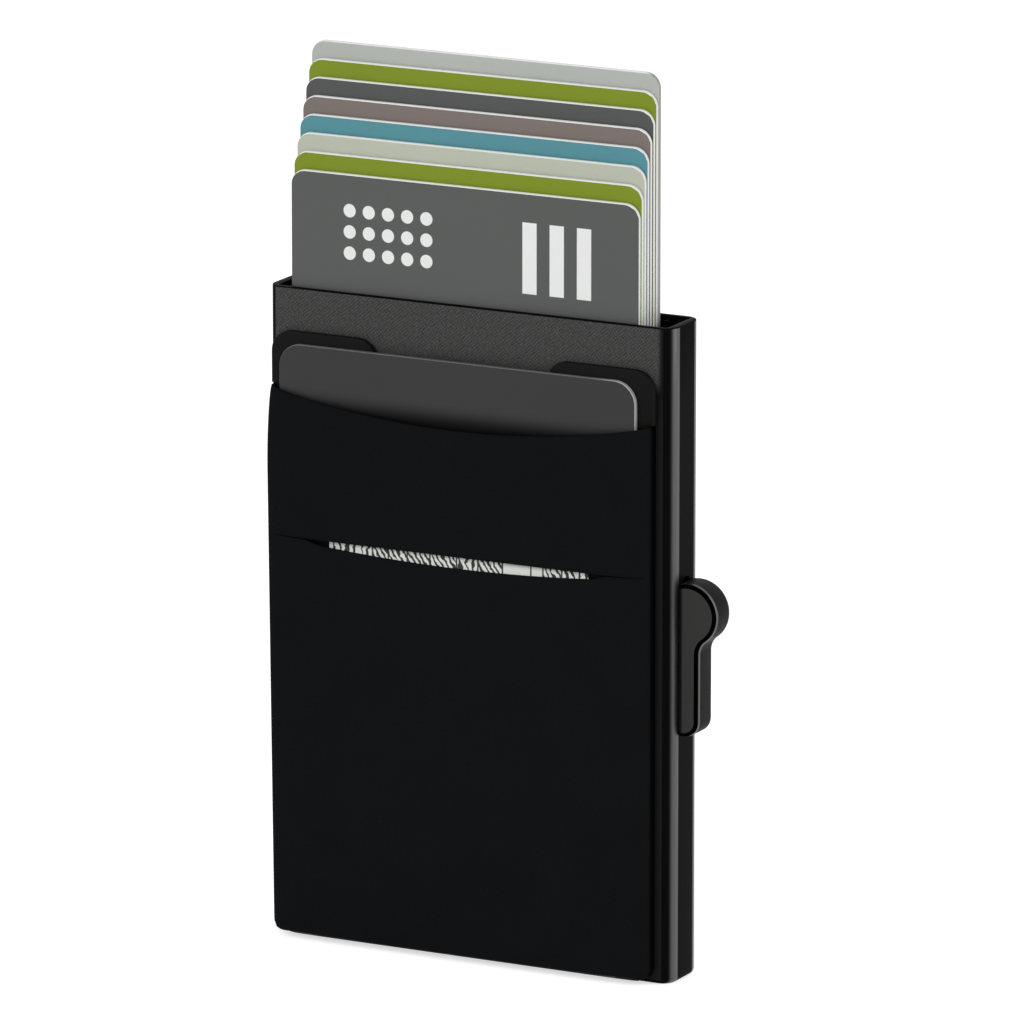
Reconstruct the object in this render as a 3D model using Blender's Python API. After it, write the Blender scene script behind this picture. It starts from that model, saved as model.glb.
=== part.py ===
"""Pop-up card wallet with a side slider and an elastic front pocket.

Every piece is built at real size in metres, with +Z up and the front towards -Y. The origin is the centre
of the case's bottom face. The pieces stand with the cards raised in steps, which is the rest pose.
"""

import math

import bmesh
import bpy
from mathutils import Matrix, Vector

MM = 0.001
SMOOTH_ANGLE = 35.0

# Cards: a standard bank card with slightly tighter corners, eight of them, raised in even steps
CARD_W = 53.98 * MM
CARD_H = 85.6 * MM
CARD_T = 0.76 * MM
CARD_R = 2.2 * MM
CARD_GAP = 0.11 * MM
CARD_COUNT = 8
CARD_REVEAL = 16.6 * MM
CARD_STEP = 2.46 * MM
CARD_SINK = 0.5 * MM

# Case: a tube with rounded edges, sized around the card stack
WALL = 0.9 * MM
SIDE_WALL = 1.3 * MM
CAVITY_R = 0.4 * MM
EDGE_R = 2.2 * MM
FOOT_EDGE_R = 0.8 * MM
RIM_EDGE_R = 0.15 * MM
STACK_CLEAR = 0.18 * MM
LEFT_ROOM = 2.0 * MM
RIGHT_ROOM = 1.05 * MM
RIB_T = 0.6 * MM
RIB_GAP = 4.4 * MM
CHANNEL_W = 2.8 * MM
BASE_T = 1.6 * MM
FIT_GAP = 0.05 * MM

# Lift mechanism: a stepped arm on the left, pulled up by the slider's foot
PIVOT_INSET = 2.6 * MM
PIVOT_PIN_R = 0.8 * MM
DRIVE_PIN_R = 0.6 * MM
PIN_GAP = 0.06 * MM
HUB_R = 1.9 * MM
HUB_HALF_Y = 2.25 * MM
HUB_GAP = 0.1 * MM
EAR_T = 0.85 * MM
EAR_R = 1.5 * MM
ARM_T = 2.4 * MM
ARM_SHOULDER_GAP = 0.8 * MM
ARM_NECK_STEP = 0.2 * MM
ARM_TIP_INSET = 0.4 * MM
ARM_MID_CLEAR = 0.28 * MM
ARM_FOOT_GAP = 0.35 * MM
FOOT_T = 0.95 * MM
FOOT_GAP = 0.2 * MM
FOOT_HALF_Y = 2.4 * MM
YOKE_T = 0.9 * MM
YOKE_WALL = 0.8 * MM
FOOT_ARM_GAP = 1.1 * MM
WINDOW_GAP = 0.2 * MM
WINDOW_NEAR_GAP = 0.4 * MM
SLOT_PIN_GAP = 0.12 * MM

# Slider: thumb lever outside, carriage in the channel inside
TRAVEL = 13.0 * MM
LEVER_Z = 35.2 * MM
LEVER_GAP = 0.1 * MM
LEVER_HALF_Y = 2.4 * MM
LEVER_EDGE_R = 0.5 * MM
LEVER_STEM_OUT = 3.0 * MM
LEVER_HEAD_R = 4.45 * MM
LEVER_HEAD_OUT = 1.3 * MM
LEVER_HEAD_RISE = 17.3 * MM
LEVER_NECK_R = 2.4 * MM
LEVER_TOE_R = 2.2 * MM
TONGUE_L = 6.2 * MM
TONGUE_HALF_Y = 1.2 * MM
TONGUE_TOP_INSET = 0.3 * MM
SLOT_GAP = 0.2 * MM
SLOT_END_GAP = 0.4 * MM
LEG_GAP = 0.15 * MM
LEG_HALF_Y = 2.6 * MM
LEG_CAP = 1.0 * MM
WEB_GAP = 0.2 * MM
WEB_H = 7.0 * MM
WEB_OVERLAP = 0.1 * MM
SPRING_T = 0.15 * MM
SPRING_W = 1.2 * MM
SPRING_L = 18.0 * MM

# Card brakes: felt strips that hold the cards by friction
PAD_GAP = 0.12 * MM
PAD_BOND = 0.05 * MM
PAD_SIDE_GAP = 0.36 * MM
PAD_LOW = 48.0 * MM
PAD_HIGH = 80.0 * MM

# Front pocket: plate, stretch fabric, one card and a folded note
POCKET_X = -0.45 * MM
POCKET_SIDE_ROOM = 1.35 * MM
PLATE_T = 0.8 * MM
PLATE_TOP = 87.1 * MM
PLATE_EAR_R = 3.0 * MM
PLATE_EAR_OUT = 0.65 * MM
PLATE_EAR_FLARE = 2.5 * MM
PLATE_TOE_R = 2.2 * MM
NOTCH_HALF_W = 13.3 * MM
NOTCH_DEPTH = 9.0 * MM
FABRIC_T = 0.4 * MM
FABRIC_LOW = 0.3 * MM
FABRIC_POWER = 7.0
HEM_W = 6.0 * MM
MOUTH_Z = 76.0 * MM
MOUTH_RISE = 3.35 * MM
SLIT_Z = 58.2 * MM
SLIT_SAG = 1.7 * MM
SLIT_INSET = 0.75 * MM
LAYER_GAP = 0.05 * MM
NOTE_ROOM = 0.15 * MM
TAPE_ROOM = 0.5 * MM
POCKET_CARD_W = 55.4 * MM
POCKET_CARD_TOP = 85.5 * MM
POCKET_CARD_R = 3.3 * MM
POCKET_CARD_X = -0.8 * MM
NOTE_W = 40.5 * MM
NOTE_H = 66.0 * MM
NOTE_T = 0.44 * MM
NOTE_X = -0.25 * MM

# Worked out from the sizes above: the case
CARD_PITCH = CARD_T + CARD_GAP
INNER_D = CARD_COUNT * CARD_T + (CARD_COUNT - 1) * CARD_GAP + 2 * STACK_CLEAR
CASE_D = INNER_D + 2 * WALL
CASE_W = 2 * SIDE_WALL + LEFT_ROOM + CARD_W + RIGHT_ROOM + RIB_T + CHANNEL_W
CARD_X = -CASE_W / 2 + SIDE_WALL + LEFT_ROOM + CARD_W / 2
CARD_RIGHT = CARD_X + CARD_W / 2
RIB_LEFT = CARD_RIGHT + RIGHT_ROOM
RIB_RIGHT = RIB_LEFT + RIB_T
CHANNEL_RIGHT = CASE_W / 2 - SIDE_WALL

# Worked out: lifts, arm radii and angle
LIFT_FRONT = CARD_REVEAL + CARD_SINK
LIFT_BACK = LIFT_FRONT + (CARD_COUNT - 1) * CARD_STEP
ARM_R = CARD_W + LEFT_ROOM - PIVOT_INSET - ARM_TIP_INSET
LIFT_ANGLE = math.asin(LIFT_BACK / ARM_R)
DRIVE_R = ARM_R * TRAVEL / LIFT_BACK
ARC_RISE = math.sin(LIFT_ANGLE / 2) - math.sin(LIFT_ANGLE) / 2
PIVOT_X = -CASE_W / 2 + SIDE_WALL + PIVOT_INSET
PIVOT_Z = BASE_T + FOOT_GAP + FOOT_T + ARM_FOOT_GAP + ARM_T / 2
HOME_Z = PIVOT_Z + ARM_T / 2 + ARM_R * ARC_RISE + ARM_MID_CLEAR
CASE_H = HOME_Z + CARD_H + CARD_SINK
FOOT_Z = BASE_T + FOOT_GAP + TRAVEL

# Worked out: slider and slot
SIDE_X = CASE_W / 2
LEVER_INNER = SIDE_X + LEVER_GAP
HEAD_Z = LEVER_Z + LEVER_HEAD_RISE
HEAD_TOP = HEAD_Z + math.sqrt(LEVER_HEAD_R ** 2 - (LEVER_HEAD_OUT - LEVER_GAP) ** 2)
TONGUE_HIGH = HEAD_TOP - TONGUE_TOP_INSET
TONGUE_LOW = TONGUE_HIGH - TONGUE_L
SLOT_R = TONGUE_HALF_Y + SLOT_GAP
SLOT_HIGH = TONGUE_HIGH - SLOT_END_GAP + SLOT_R
SLOT_LOW = TONGUE_LOW - TRAVEL + SLOT_END_GAP - SLOT_R
LEG_LEFT = RIB_RIGHT + LEG_GAP
LEG_RIGHT = CHANNEL_RIGHT - LEG_GAP
LEG_TOP = TONGUE_HIGH + LEG_CAP

# Worked out: pocket layers, counted outwards from the case's front
PLATE_HALF_W = POCKET_CARD_W / 2 + POCKET_SIDE_ROOM
FRONT_Y = -CASE_D / 2
HEM_BACK = FRONT_Y - LAYER_GAP
PLATE_BACK = HEM_BACK - FABRIC_T - LAYER_GAP
PLATE_FRONT = PLATE_BACK - PLATE_T
POCKET_CARD_BACK = PLATE_FRONT - LAYER_GAP
POCKET_CARD_FRONT = POCKET_CARD_BACK - CARD_T
NOTE_BACK = POCKET_CARD_FRONT - LAYER_GAP
NOTE_FRONT = NOTE_BACK - NOTE_T
FABRIC_BACK = NOTE_FRONT - NOTE_ROOM
FABRIC_FRONT = FABRIC_BACK - FABRIC_T
PLATE_LOW = FABRIC_LOW + FABRIC_T + LAYER_GAP
FABRIC_HALF_W = PLATE_HALF_W + LAYER_GAP + FABRIC_T
SLIT_HALF_W = FABRIC_HALF_W - SLIT_INSET
PLATE_EAR_LOW = MOUTH_Z + MOUTH_RISE + LAYER_GAP

CARD_COLOURS = (
    (0.103, 0.107, 0.105),
    (0.212, 0.287, 0.032),
    (0.462, 0.503, 0.407),
    (0.091, 0.279, 0.323),
    (0.212, 0.178, 0.168),
    (0.102, 0.107, 0.107),
    (0.212, 0.287, 0.032),
    (0.462, 0.485, 0.451),
)


def make_material(name, colour, roughness, metallic=0.0):
    """Return a Principled material with one colour."""
    material = bpy.data.materials.new(name)
    material.use_nodes = True
    shader = material.node_tree.nodes["Principled BSDF"]
    shader.inputs["Base Color"].default_value = (*colour, 1.0)
    shader.inputs["Roughness"].default_value = roughness
    shader.inputs["Metallic"].default_value = metallic
    return material


def arc(centre, radius, start, end, steps=6):
    """Return the points of an arc between two angles in degrees."""
    points = []
    for i in range(steps + 1):
        angle = math.radians(start + (end - start) * i / steps)
        points.append((centre[0] + radius * math.cos(angle), centre[1] + radius * math.sin(angle)))
    return points


def rounded_rect(left, right, low, high, radius, steps=6):
    """Return a counter-clockwise rectangle with round corners."""
    points = arc((right - radius, low + radius), radius, -90, 0, steps)
    points += arc((right - radius, high - radius), radius, 0, 90, steps)
    points += arc((left + radius, high - radius), radius, 90, 180, steps)
    points += arc((left + radius, low + radius), radius, 180, 270, steps)
    return points


def rect(left, right, low, high):
    """Return a plain counter-clockwise rectangle."""
    return [(left, low), (right, low), (right, high), (left, high)]


def to_world(axis, u, v, w):
    """Place an outline point (u, v) at distance w along an axis."""
    if axis == "X":
        return Vector((w, u, v))
    if axis == "Y":
        return Vector((u, w, v))
    return Vector((u, v, w))


def prism(points, axis, low, high):
    """Return a mesh that extrudes a closed outline along an axis."""
    bm = bmesh.new()
    face = bm.faces.new([bm.verts.new(to_world(axis, u, v, low)) for u, v in points])
    grown = bmesh.ops.extrude_face_region(bm, geom=[face])
    moved = [item for item in grown["geom"] if isinstance(item, bmesh.types.BMVert)]
    bmesh.ops.translate(bm, verts=moved, vec=to_world(axis, 0.0, 0.0, high - low))
    bmesh.ops.recalc_face_normals(bm, faces=bm.faces)
    return bm


def box(x_range, y_range, z_range):
    """Return a box mesh between three pairs of limits."""
    return prism(rect(*x_range, *y_range), "Z", *z_range)


def rod(centre, radius, axis, low, high, steps=24):
    """Return a round rod along an axis."""
    return prism(arc(centre, radius, 0, 360 - 360 / steps, steps - 1), axis, low, high)


def loft(rings):
    """Return a closed mesh through rings of equal length, with flat ends."""
    bm = bmesh.new()
    loops = [[bm.verts.new(point) for point in ring] for ring in rings]
    count = len(rings[0])
    for lower, upper in zip(loops, loops[1:]):
        for i in range(count):
            j = (i + 1) % count
            bm.faces.new((lower[i], lower[j], upper[j], upper[i]))
    bm.faces.new(reversed(loops[0]))
    bm.faces.new(loops[-1])
    bmesh.ops.recalc_face_normals(bm, faces=bm.faces)
    return bm


def add_node(name, bm, material=None, origin=(0.0, 0.0, 0.0)):
    """Make an object from a world-placed mesh, with its origin at a chosen point."""
    bmesh.ops.translate(bm, verts=bm.verts, vec=-Vector(origin))
    mesh = bpy.data.meshes.new(name)
    bm.to_mesh(mesh)
    bm.free()
    node = bpy.data.objects.new(name, mesh)
    node.location = origin
    bpy.context.scene.collection.objects.link(node)
    if material:
        mesh.materials.append(material)
    return node


def carve(node, tool_mesh, operation="DIFFERENCE"):
    """Cut a mesh out of a node, or join it on, in the node's own coordinates."""
    tool = add_node(node.name + "_tool", tool_mesh)
    tool.matrix_world = node.matrix_basis
    modifier = node.modifiers.new(operation.lower(), "BOOLEAN")
    modifier.operation = operation
    modifier.object = tool
    bpy.context.view_layer.update()
    graph = bpy.context.evaluated_depsgraph_get()
    result = bpy.data.meshes.new_from_object(node.evaluated_get(graph))
    plain = node.data
    node.modifiers.clear()
    node.data = result
    bpy.data.meshes.remove(plain)
    bpy.data.objects.remove(tool)
    node.data.name = node.name


def cavity_outline(shrink):
    """Return the inside of the case in plan, with its two ribs, shrunk by a gap."""
    right = CASE_W / 2 - SIDE_WALL - shrink
    deep = INNER_D / 2 - shrink
    radius = CAVITY_R
    tip = RIB_GAP / 2 - shrink
    left_rib = RIB_LEFT - shrink
    right_rib = RIB_RIGHT + shrink
    points = [(left_rib, -deep), (left_rib, -tip), (right_rib, -tip), (right_rib, -deep)]
    points += arc((right - radius, -deep + radius), radius, -90, 0)
    points += arc((right - radius, deep - radius), radius, 0, 90)
    points += [(right_rib, deep), (right_rib, tip), (left_rib, tip), (left_rib, deep)]
    points += arc((-right + radius, deep - radius), radius, 90, 180)
    points += arc((-right + radius, -deep + radius), radius, 180, 270)
    return points


def case_ring(inset, height):
    """Return the case's outer outline at one height, drawn in by an inset."""
    half_w = CASE_W / 2 - inset
    half_d = CASE_D / 2 - inset
    outline = rounded_rect(-half_w, half_w, -half_d, half_d, EDGE_R - inset, 8)
    return [Vector((x, y, height)) for x, y in outline]


def build_case(metal, plastic):
    """Tube with guide ribs and a lever slot, and the cap that plugs its bottom."""
    rings = []
    for angle in (0, 22.5, 45, 67.5, 90):
        turn = math.radians(angle)
        rings.append(case_ring(FOOT_EDGE_R * (1 - math.sin(turn)), FOOT_EDGE_R * (1 - math.cos(turn))))
    rings.append(case_ring(0.0, CASE_H - RIM_EDGE_R))
    rings.append(case_ring(RIM_EDGE_R, CASE_H))
    shell = add_node("case_shell", loft(rings), metal)
    carve(shell, prism(cavity_outline(0.0), "Z", -CASE_D, CASE_H + CASE_D))
    slot = arc((0.0, SLOT_HIGH - SLOT_R), SLOT_R, 0, 180, 10)
    slot += arc((0.0, SLOT_LOW + SLOT_R), SLOT_R, 180, 360, 10)
    carve(shell, prism(slot, "X", CHANNEL_RIGHT - SIDE_WALL / 2, SIDE_X + SIDE_WALL))

    cap = add_node("base_cap", prism(cavity_outline(FIT_GAP), "Z", 0.0, BASE_T), plastic)
    ear = rect(PIVOT_X - EAR_R, PIVOT_X + EAR_R, BASE_T / 2, PIVOT_Z)[:2]
    ear += arc((PIVOT_X, PIVOT_Z), EAR_R, 0, 180, 10)
    near = HUB_HALF_Y + HUB_GAP
    carve(cap, prism(ear, "Y", near, near + EAR_T), "UNION")
    carve(cap, prism(ear, "Y", -near - EAR_T, -near), "UNION")
    carve(cap, rod((PIVOT_X, PIVOT_Z), PIVOT_PIN_R + PIN_GAP, "Y", -CASE_D, CASE_D))


def card_front(index):
    """Return the Y of a card's front face, counted from the front card."""
    return -INNER_D / 2 + STACK_CLEAR + index * CARD_PITCH


def card_lift(index):
    """Return how far a card rises from home to the rest pose."""
    return LIFT_FRONT + index * CARD_STEP


def build_cards():
    """Eight bank cards, each raised by its own step."""
    outline = rounded_rect(-CARD_W / 2, CARD_W / 2, 0.0, CARD_H, CARD_R)
    for index in range(CARD_COUNT):
        material = make_material(f"card_{index + 1}", CARD_COLOURS[index], 0.35)
        card = add_node(f"card_{index + 1}", prism(outline, "Y", 0.0, CARD_T), material)
        card.location = (CARD_X, card_front(index), HOME_Z + card_lift(index))


def arm_mesh():
    """Return the lift arm's bar, lying along X: one finger per card, each longer than the one before it."""
    bm = bmesh.new()
    half_y = INNER_D / 2 - STACK_CLEAR
    half_z = ARM_T / 2
    ends = [-half_y]
    ends += [card_front(index) - CARD_GAP / 2 for index in range(1, CARD_COUNT)]
    ends.append(half_y)
    noses = []
    for index in range(CARD_COUNT):
        radius = ARM_R * card_lift(index) / LIFT_BACK
        for y in ends[index:index + 2]:
            noses.append([bm.verts.new((x, y, z)) for x, z in arc((radius, 0.0), half_z, -90, 90, 10)])
    for near, far in zip(noses, noses[1:]):
        for i in range(10):
            bm.faces.new((near[i], near[i + 1], far[i + 1], far[i]))
    corners = [[bm.verts.new((arm_shoulder(), y, z)) for z in (-half_z, half_z)] for y in (-half_y, half_y)]
    bm.faces.new(noses[0] + corners[0][::-1])
    bm.faces.new(noses[-1] + corners[1][::-1])
    bm.faces.new(corners[0] + corners[1][::-1])
    bm.faces.new([nose[0] for nose in noses] + [corners[1][0], corners[0][0]])
    bm.faces.new([nose[-1] for nose in noses] + [corners[1][1], corners[0][1]])
    bmesh.ops.recalc_face_normals(bm, faces=bm.faces)
    return bm


def arm_shoulder():
    """Return where the arm's full width starts, measured from its pivot."""
    return EAR_R + ARM_SHOULDER_GAP


def build_lift(steel, plastic):
    """Stepped lift arm on its pivot pin, with the drive pin that the slider's yoke pulls."""
    pivot = Vector((PIVOT_X, 0.0, PIVOT_Z))
    arm = add_node("lift_arm", arm_mesh(), plastic)
    neck_z = ARM_T / 2 - ARM_NECK_STEP
    carve(arm, box((0.0, arm_shoulder() + WINDOW_GAP), (-HUB_HALF_Y + FIT_GAP, HUB_HALF_Y - FIT_GAP),
                   (-neck_z, neck_z)), "UNION")
    carve(arm, rod((0.0, 0.0), HUB_R, "Y", -HUB_HALF_Y, HUB_HALF_Y), "UNION")
    carve(arm, rod((0.0, 0.0), PIVOT_PIN_R + PIN_GAP, "Y", -CASE_D, CASE_D))
    carve(arm, rod((DRIVE_R, 0.0), DRIVE_PIN_R + FIT_GAP, "Y", -CASE_D, CASE_D))
    near = yoke_left() - WINDOW_NEAR_GAP
    far = math.hypot(yoke_right(), yoke_rise() + TRAVEL) + WINDOW_GAP
    half_y = YOKE_T / 2 + WINDOW_GAP
    carve(arm, box((near, far), (-half_y, half_y), (-CASE_D, CASE_D)))

    reach = INNER_D / 2 - STACK_CLEAR - FIT_GAP
    drive = add_node("arm_drive_pin", rod((DRIVE_R, 0.0), DRIVE_PIN_R, "Y", -reach, reach), steel)
    for node in (arm, drive):
        node.location = pivot
        node.rotation_euler = (0.0, -LIFT_ANGLE, 0.0)
    pin = add_node("arm_pivot_pin", rod((0.0, 0.0), PIVOT_PIN_R, "Y", -reach, reach), steel)
    pin.location = pivot


def yoke_left():
    """Return the yoke's left end, measured from the arm's pivot."""
    return DRIVE_R * math.cos(LIFT_ANGLE) - DRIVE_PIN_R - FIT_GAP - YOKE_WALL


def yoke_right():
    """Return the yoke's right end, measured from the arm's pivot."""
    return DRIVE_R + DRIVE_PIN_R + FIT_GAP + YOKE_WALL


def yoke_slot_rise():
    """Return the top of the yoke's slot above the pin's middle: room for the pin's arc."""
    return DRIVE_PIN_R + DRIVE_R * ARC_RISE + SLOT_PIN_GAP


def yoke_rise():
    """Return the top of the yoke above the pin's middle."""
    return yoke_slot_rise() + YOKE_WALL


def foot_left():
    """Return the foot's left end from the pivot: clear of the arm's underside all through the stroke."""
    steps = 40
    reach = 0.0
    for i in range(1, steps + 1):
        turn = LIFT_ANGLE * i / steps
        top = TRAVEL * i / steps - ARM_T / 2 - ARM_FOOT_GAP
        reach = max(reach, top / math.tan(turn) + ARM_T / 2 / math.sin(turn))
    return reach + FOOT_ARM_GAP


def lever_ring(inset, depth):
    """Return the thumb lever's outline at one depth, drawn in by an inset: stem, neck and round head."""
    stem = SIDE_X + LEVER_STEM_OUT - inset
    low = LEVER_Z + inset
    toe_r = LEVER_TOE_R - inset
    neck_r = LEVER_NECK_R + inset
    head_r = LEVER_HEAD_R - inset
    head = (SIDE_X + LEVER_HEAD_OUT, HEAD_Z)
    neck_x = stem + neck_r
    neck_drop = math.sqrt((head_r + neck_r) ** 2 - (neck_x - head[0]) ** 2)
    meet = math.degrees(math.atan2(neck_drop, head[0] - neck_x))
    back = LEVER_INNER - head[0]
    top = math.degrees(math.atan2(math.sqrt(head_r ** 2 - back ** 2), back))
    points = [(LEVER_INNER, low)]
    points += arc((stem - toe_r, low + toe_r), toe_r, -90, 0, 8)
    points += arc((neck_x, HEAD_Z - neck_drop), neck_r, 180, meet, 6)
    points += arc(head, head_r, meet - 180, top, 22)[1:]
    return [Vector((x, depth, z)) for x, z in points]


def lever_mesh():
    """Return the thumb lever with its outline rounded on the front and back faces."""
    rings = []
    for side in (-1, 1):
        for angle in (0, 30, 60, 90)[::-side]:
            turn = math.radians(angle)
            depth = LEVER_HALF_Y - LEVER_EDGE_R * (1 - math.cos(turn))
            rings.append(lever_ring(LEVER_EDGE_R * (1 - math.sin(turn)), side * depth))
    return loft(rings)


def build_slider(steel, plastic):
    """Thumb lever, the carriage behind it and the two springs that keep the carriage where it is put."""
    axis_point = (SIDE_X, 0.0, LEVER_Z)
    lever = add_node("thumb_lever", lever_mesh(), plastic)
    socket_floor = LEG_LEFT + YOKE_WALL
    tongue_tip = socket_floor + FIT_GAP
    tongue = box((tongue_tip, LEVER_INNER + LEVER_EDGE_R), (-TONGUE_HALF_Y, TONGUE_HALF_Y),
                 (TONGUE_LOW, TONGUE_HIGH))
    carve(lever, tongue, "UNION")

    carriage = add_node("slider_carriage", box((LEG_LEFT, LEG_RIGHT), (-LEG_HALF_Y, LEG_HALF_Y),
                                               (FOOT_Z, LEG_TOP)), steel)
    socket_y = TONGUE_HALF_Y + FIT_GAP
    carve(carriage, box((socket_floor, SIDE_X), (-socket_y, socket_y),
                        (TONGUE_LOW - FIT_GAP, TONGUE_HIGH + FIT_GAP)))
    web_y = RIB_GAP / 2 - WEB_GAP
    web_left = CARD_RIGHT + WEB_GAP
    foot_right = RIB_LEFT - WEB_GAP
    carve(carriage, box((web_left, LEG_LEFT + WEB_OVERLAP), (-web_y, web_y), (FOOT_Z, FOOT_Z + WEB_H)), "UNION")
    carve(carriage, box((PIVOT_X + foot_left(), foot_right), (-FOOT_HALF_Y, FOOT_HALF_Y),
                        (FOOT_Z, FOOT_Z + FOOT_T)), "UNION")
    pin_z = PIVOT_Z + TRAVEL
    slot_low = pin_z - DRIVE_PIN_R - SLOT_PIN_GAP
    slot_high = pin_z + yoke_slot_rise()
    yoke_x = (PIVOT_X + yoke_left(), PIVOT_X + yoke_right())
    yoke_y = (-YOKE_T / 2, YOKE_T / 2)
    carve(carriage, box(yoke_x, yoke_y, (FOOT_Z, pin_z + yoke_rise())), "UNION")
    carve(carriage, box((yoke_x[0] + YOKE_WALL, PIVOT_X + DRIVE_R + DRIVE_PIN_R + FIT_GAP), (-YOKE_T, YOKE_T),
                        (slot_low, slot_high)))
    nodes = [lever, carriage]
    nodes += [build_spring(side, steel) for side in (-1, 1)]
    for node in nodes:
        node.data.transform(Matrix.Translation(-Vector(axis_point)))
        node.location = axis_point


def build_spring(side, steel):
    """Bowed leaf between the carriage and the channel's front or rear wall."""
    near = LEG_HALF_Y + FIT_GAP
    far = INNER_D / 2 - FIT_GAP
    rise = far - near - SPRING_T
    middle = (FOOT_Z + LEG_TOP) / 2
    points = []
    for offset, order in ((0.0, range(13)), (SPRING_T, range(12, -1, -1))):
        for i in order:
            turn = i / 6 - 1
            points.append((side * (near + offset + rise * (1 - turn ** 2)), middle + SPRING_L / 2 * turn))
    name = "slider_spring_front" if side < 0 else "slider_spring_rear"
    left = LEG_LEFT + FIT_GAP
    return add_node(name, prism(points, "X", left, left + SPRING_W), steel)


def build_brakes(felt):
    """Felt strips beside the cards: one on the left wall and one on each rib."""
    half_y = INNER_D / 2 - PAD_SIDE_GAP
    wall = -CASE_W / 2 + SIDE_WALL + PAD_BOND
    card_left = CARD_X - CARD_W / 2 - PAD_GAP
    corner = CAVITY_R
    left_pad = [(card_left, -half_y), (card_left, half_y)]
    left_pad += arc((wall + corner, half_y - corner), corner, 90, 180)
    left_pad += arc((wall + corner, corner - half_y), corner, 180, 270)
    add_node("brake_pad_left", prism(left_pad, "Z", PAD_LOW, PAD_HIGH), felt)
    across = (CARD_RIGHT + PAD_GAP, RIB_LEFT - PAD_BOND)
    near = RIB_GAP / 2
    add_node("brake_pad_right_front", box(across, (-half_y, -near), (PAD_LOW, PAD_HIGH)), felt)
    add_node("brake_pad_right_rear", box(across, (near, half_y), (PAD_LOW, PAD_HIGH)), felt)


def plate_outline():
    """Return the pocket plate from the front: round toes, two ears that flare out, and a notch between them."""
    left = POCKET_X - PLATE_HALF_W
    right = POCKET_X + PLATE_HALF_W
    ear_left = left - PLATE_EAR_OUT
    ear_right = right + PLATE_EAR_OUT
    points = arc((right - PLATE_TOE_R, PLATE_LOW + PLATE_TOE_R), PLATE_TOE_R, -90, 0)
    points += [(right, PLATE_EAR_LOW), (ear_right, PLATE_EAR_LOW + PLATE_EAR_FLARE)]
    points += arc((ear_right - PLATE_EAR_R, PLATE_TOP - PLATE_EAR_R), PLATE_EAR_R, 0, 90)
    for side in (1, -1):
        wall = POCKET_X + side * NOTCH_HALF_W
        tip = arc((wall + side * PLATE_EAR_R, PLATE_TOP - PLATE_EAR_R), PLATE_EAR_R, 90, 90 + side * 90)
        foot = arc((wall - side * PLATE_EAR_R, PLATE_TOP - NOTCH_DEPTH + PLATE_EAR_R), PLATE_EAR_R,
                   90 - side * 90, -90)
        if side > 0:
            points += tip + foot
        else:
            points += foot[::-1] + tip[::-1]
    points += arc((ear_left + PLATE_EAR_R, PLATE_TOP - PLATE_EAR_R), PLATE_EAR_R, 90, 180)
    points += [(ear_left, PLATE_EAR_LOW + PLATE_EAR_FLARE), (left, PLATE_EAR_LOW)]
    points += arc((left + PLATE_TOE_R, PLATE_LOW + PLATE_TOE_R), PLATE_TOE_R, 180, 270)
    return points


def sleeve_ring(half_w, back, front, height):
    """Return a pocket section: flat at the back, a full curve across the front."""
    ring = []
    for i in range(33):
        turn = math.pi * i / 32
        across = math.copysign(abs(math.cos(turn)) ** (2 / FABRIC_POWER), math.cos(turn))
        out = math.sin(turn) ** (2 / FABRIC_POWER) if 0 < i < 32 else 0.0
        ring.append(Vector((POCKET_X + half_w * across, back + (front - back) * out, height)))
    return ring


def sleeve(half_w, back, front, low, toe):
    """Return a closed pocket form whose bottom corners and edge are rounded by a toe radius."""
    rings = []
    for angle in (0, 25, 50, 70, 90):
        turn = math.radians(angle)
        inset = toe * (1 - math.sin(turn))
        height = low + toe * (1 - math.cos(turn))
        thin = (front - back) * inset / toe / 4
        rings.append(sleeve_ring(half_w - inset, back, front - thin, height))
    for height in (MOUTH_Z / 2, MOUTH_Z, MOUTH_Z + 2 * MOUTH_RISE):
        rings.append(sleeve_ring(half_w, back, front, height))
    return loft(rings)


def mouth_height(across):
    """Return the mouth's height at a place across the pocket, from -1 to 1."""
    return MOUTH_Z + MOUTH_RISE * across ** 2


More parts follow.
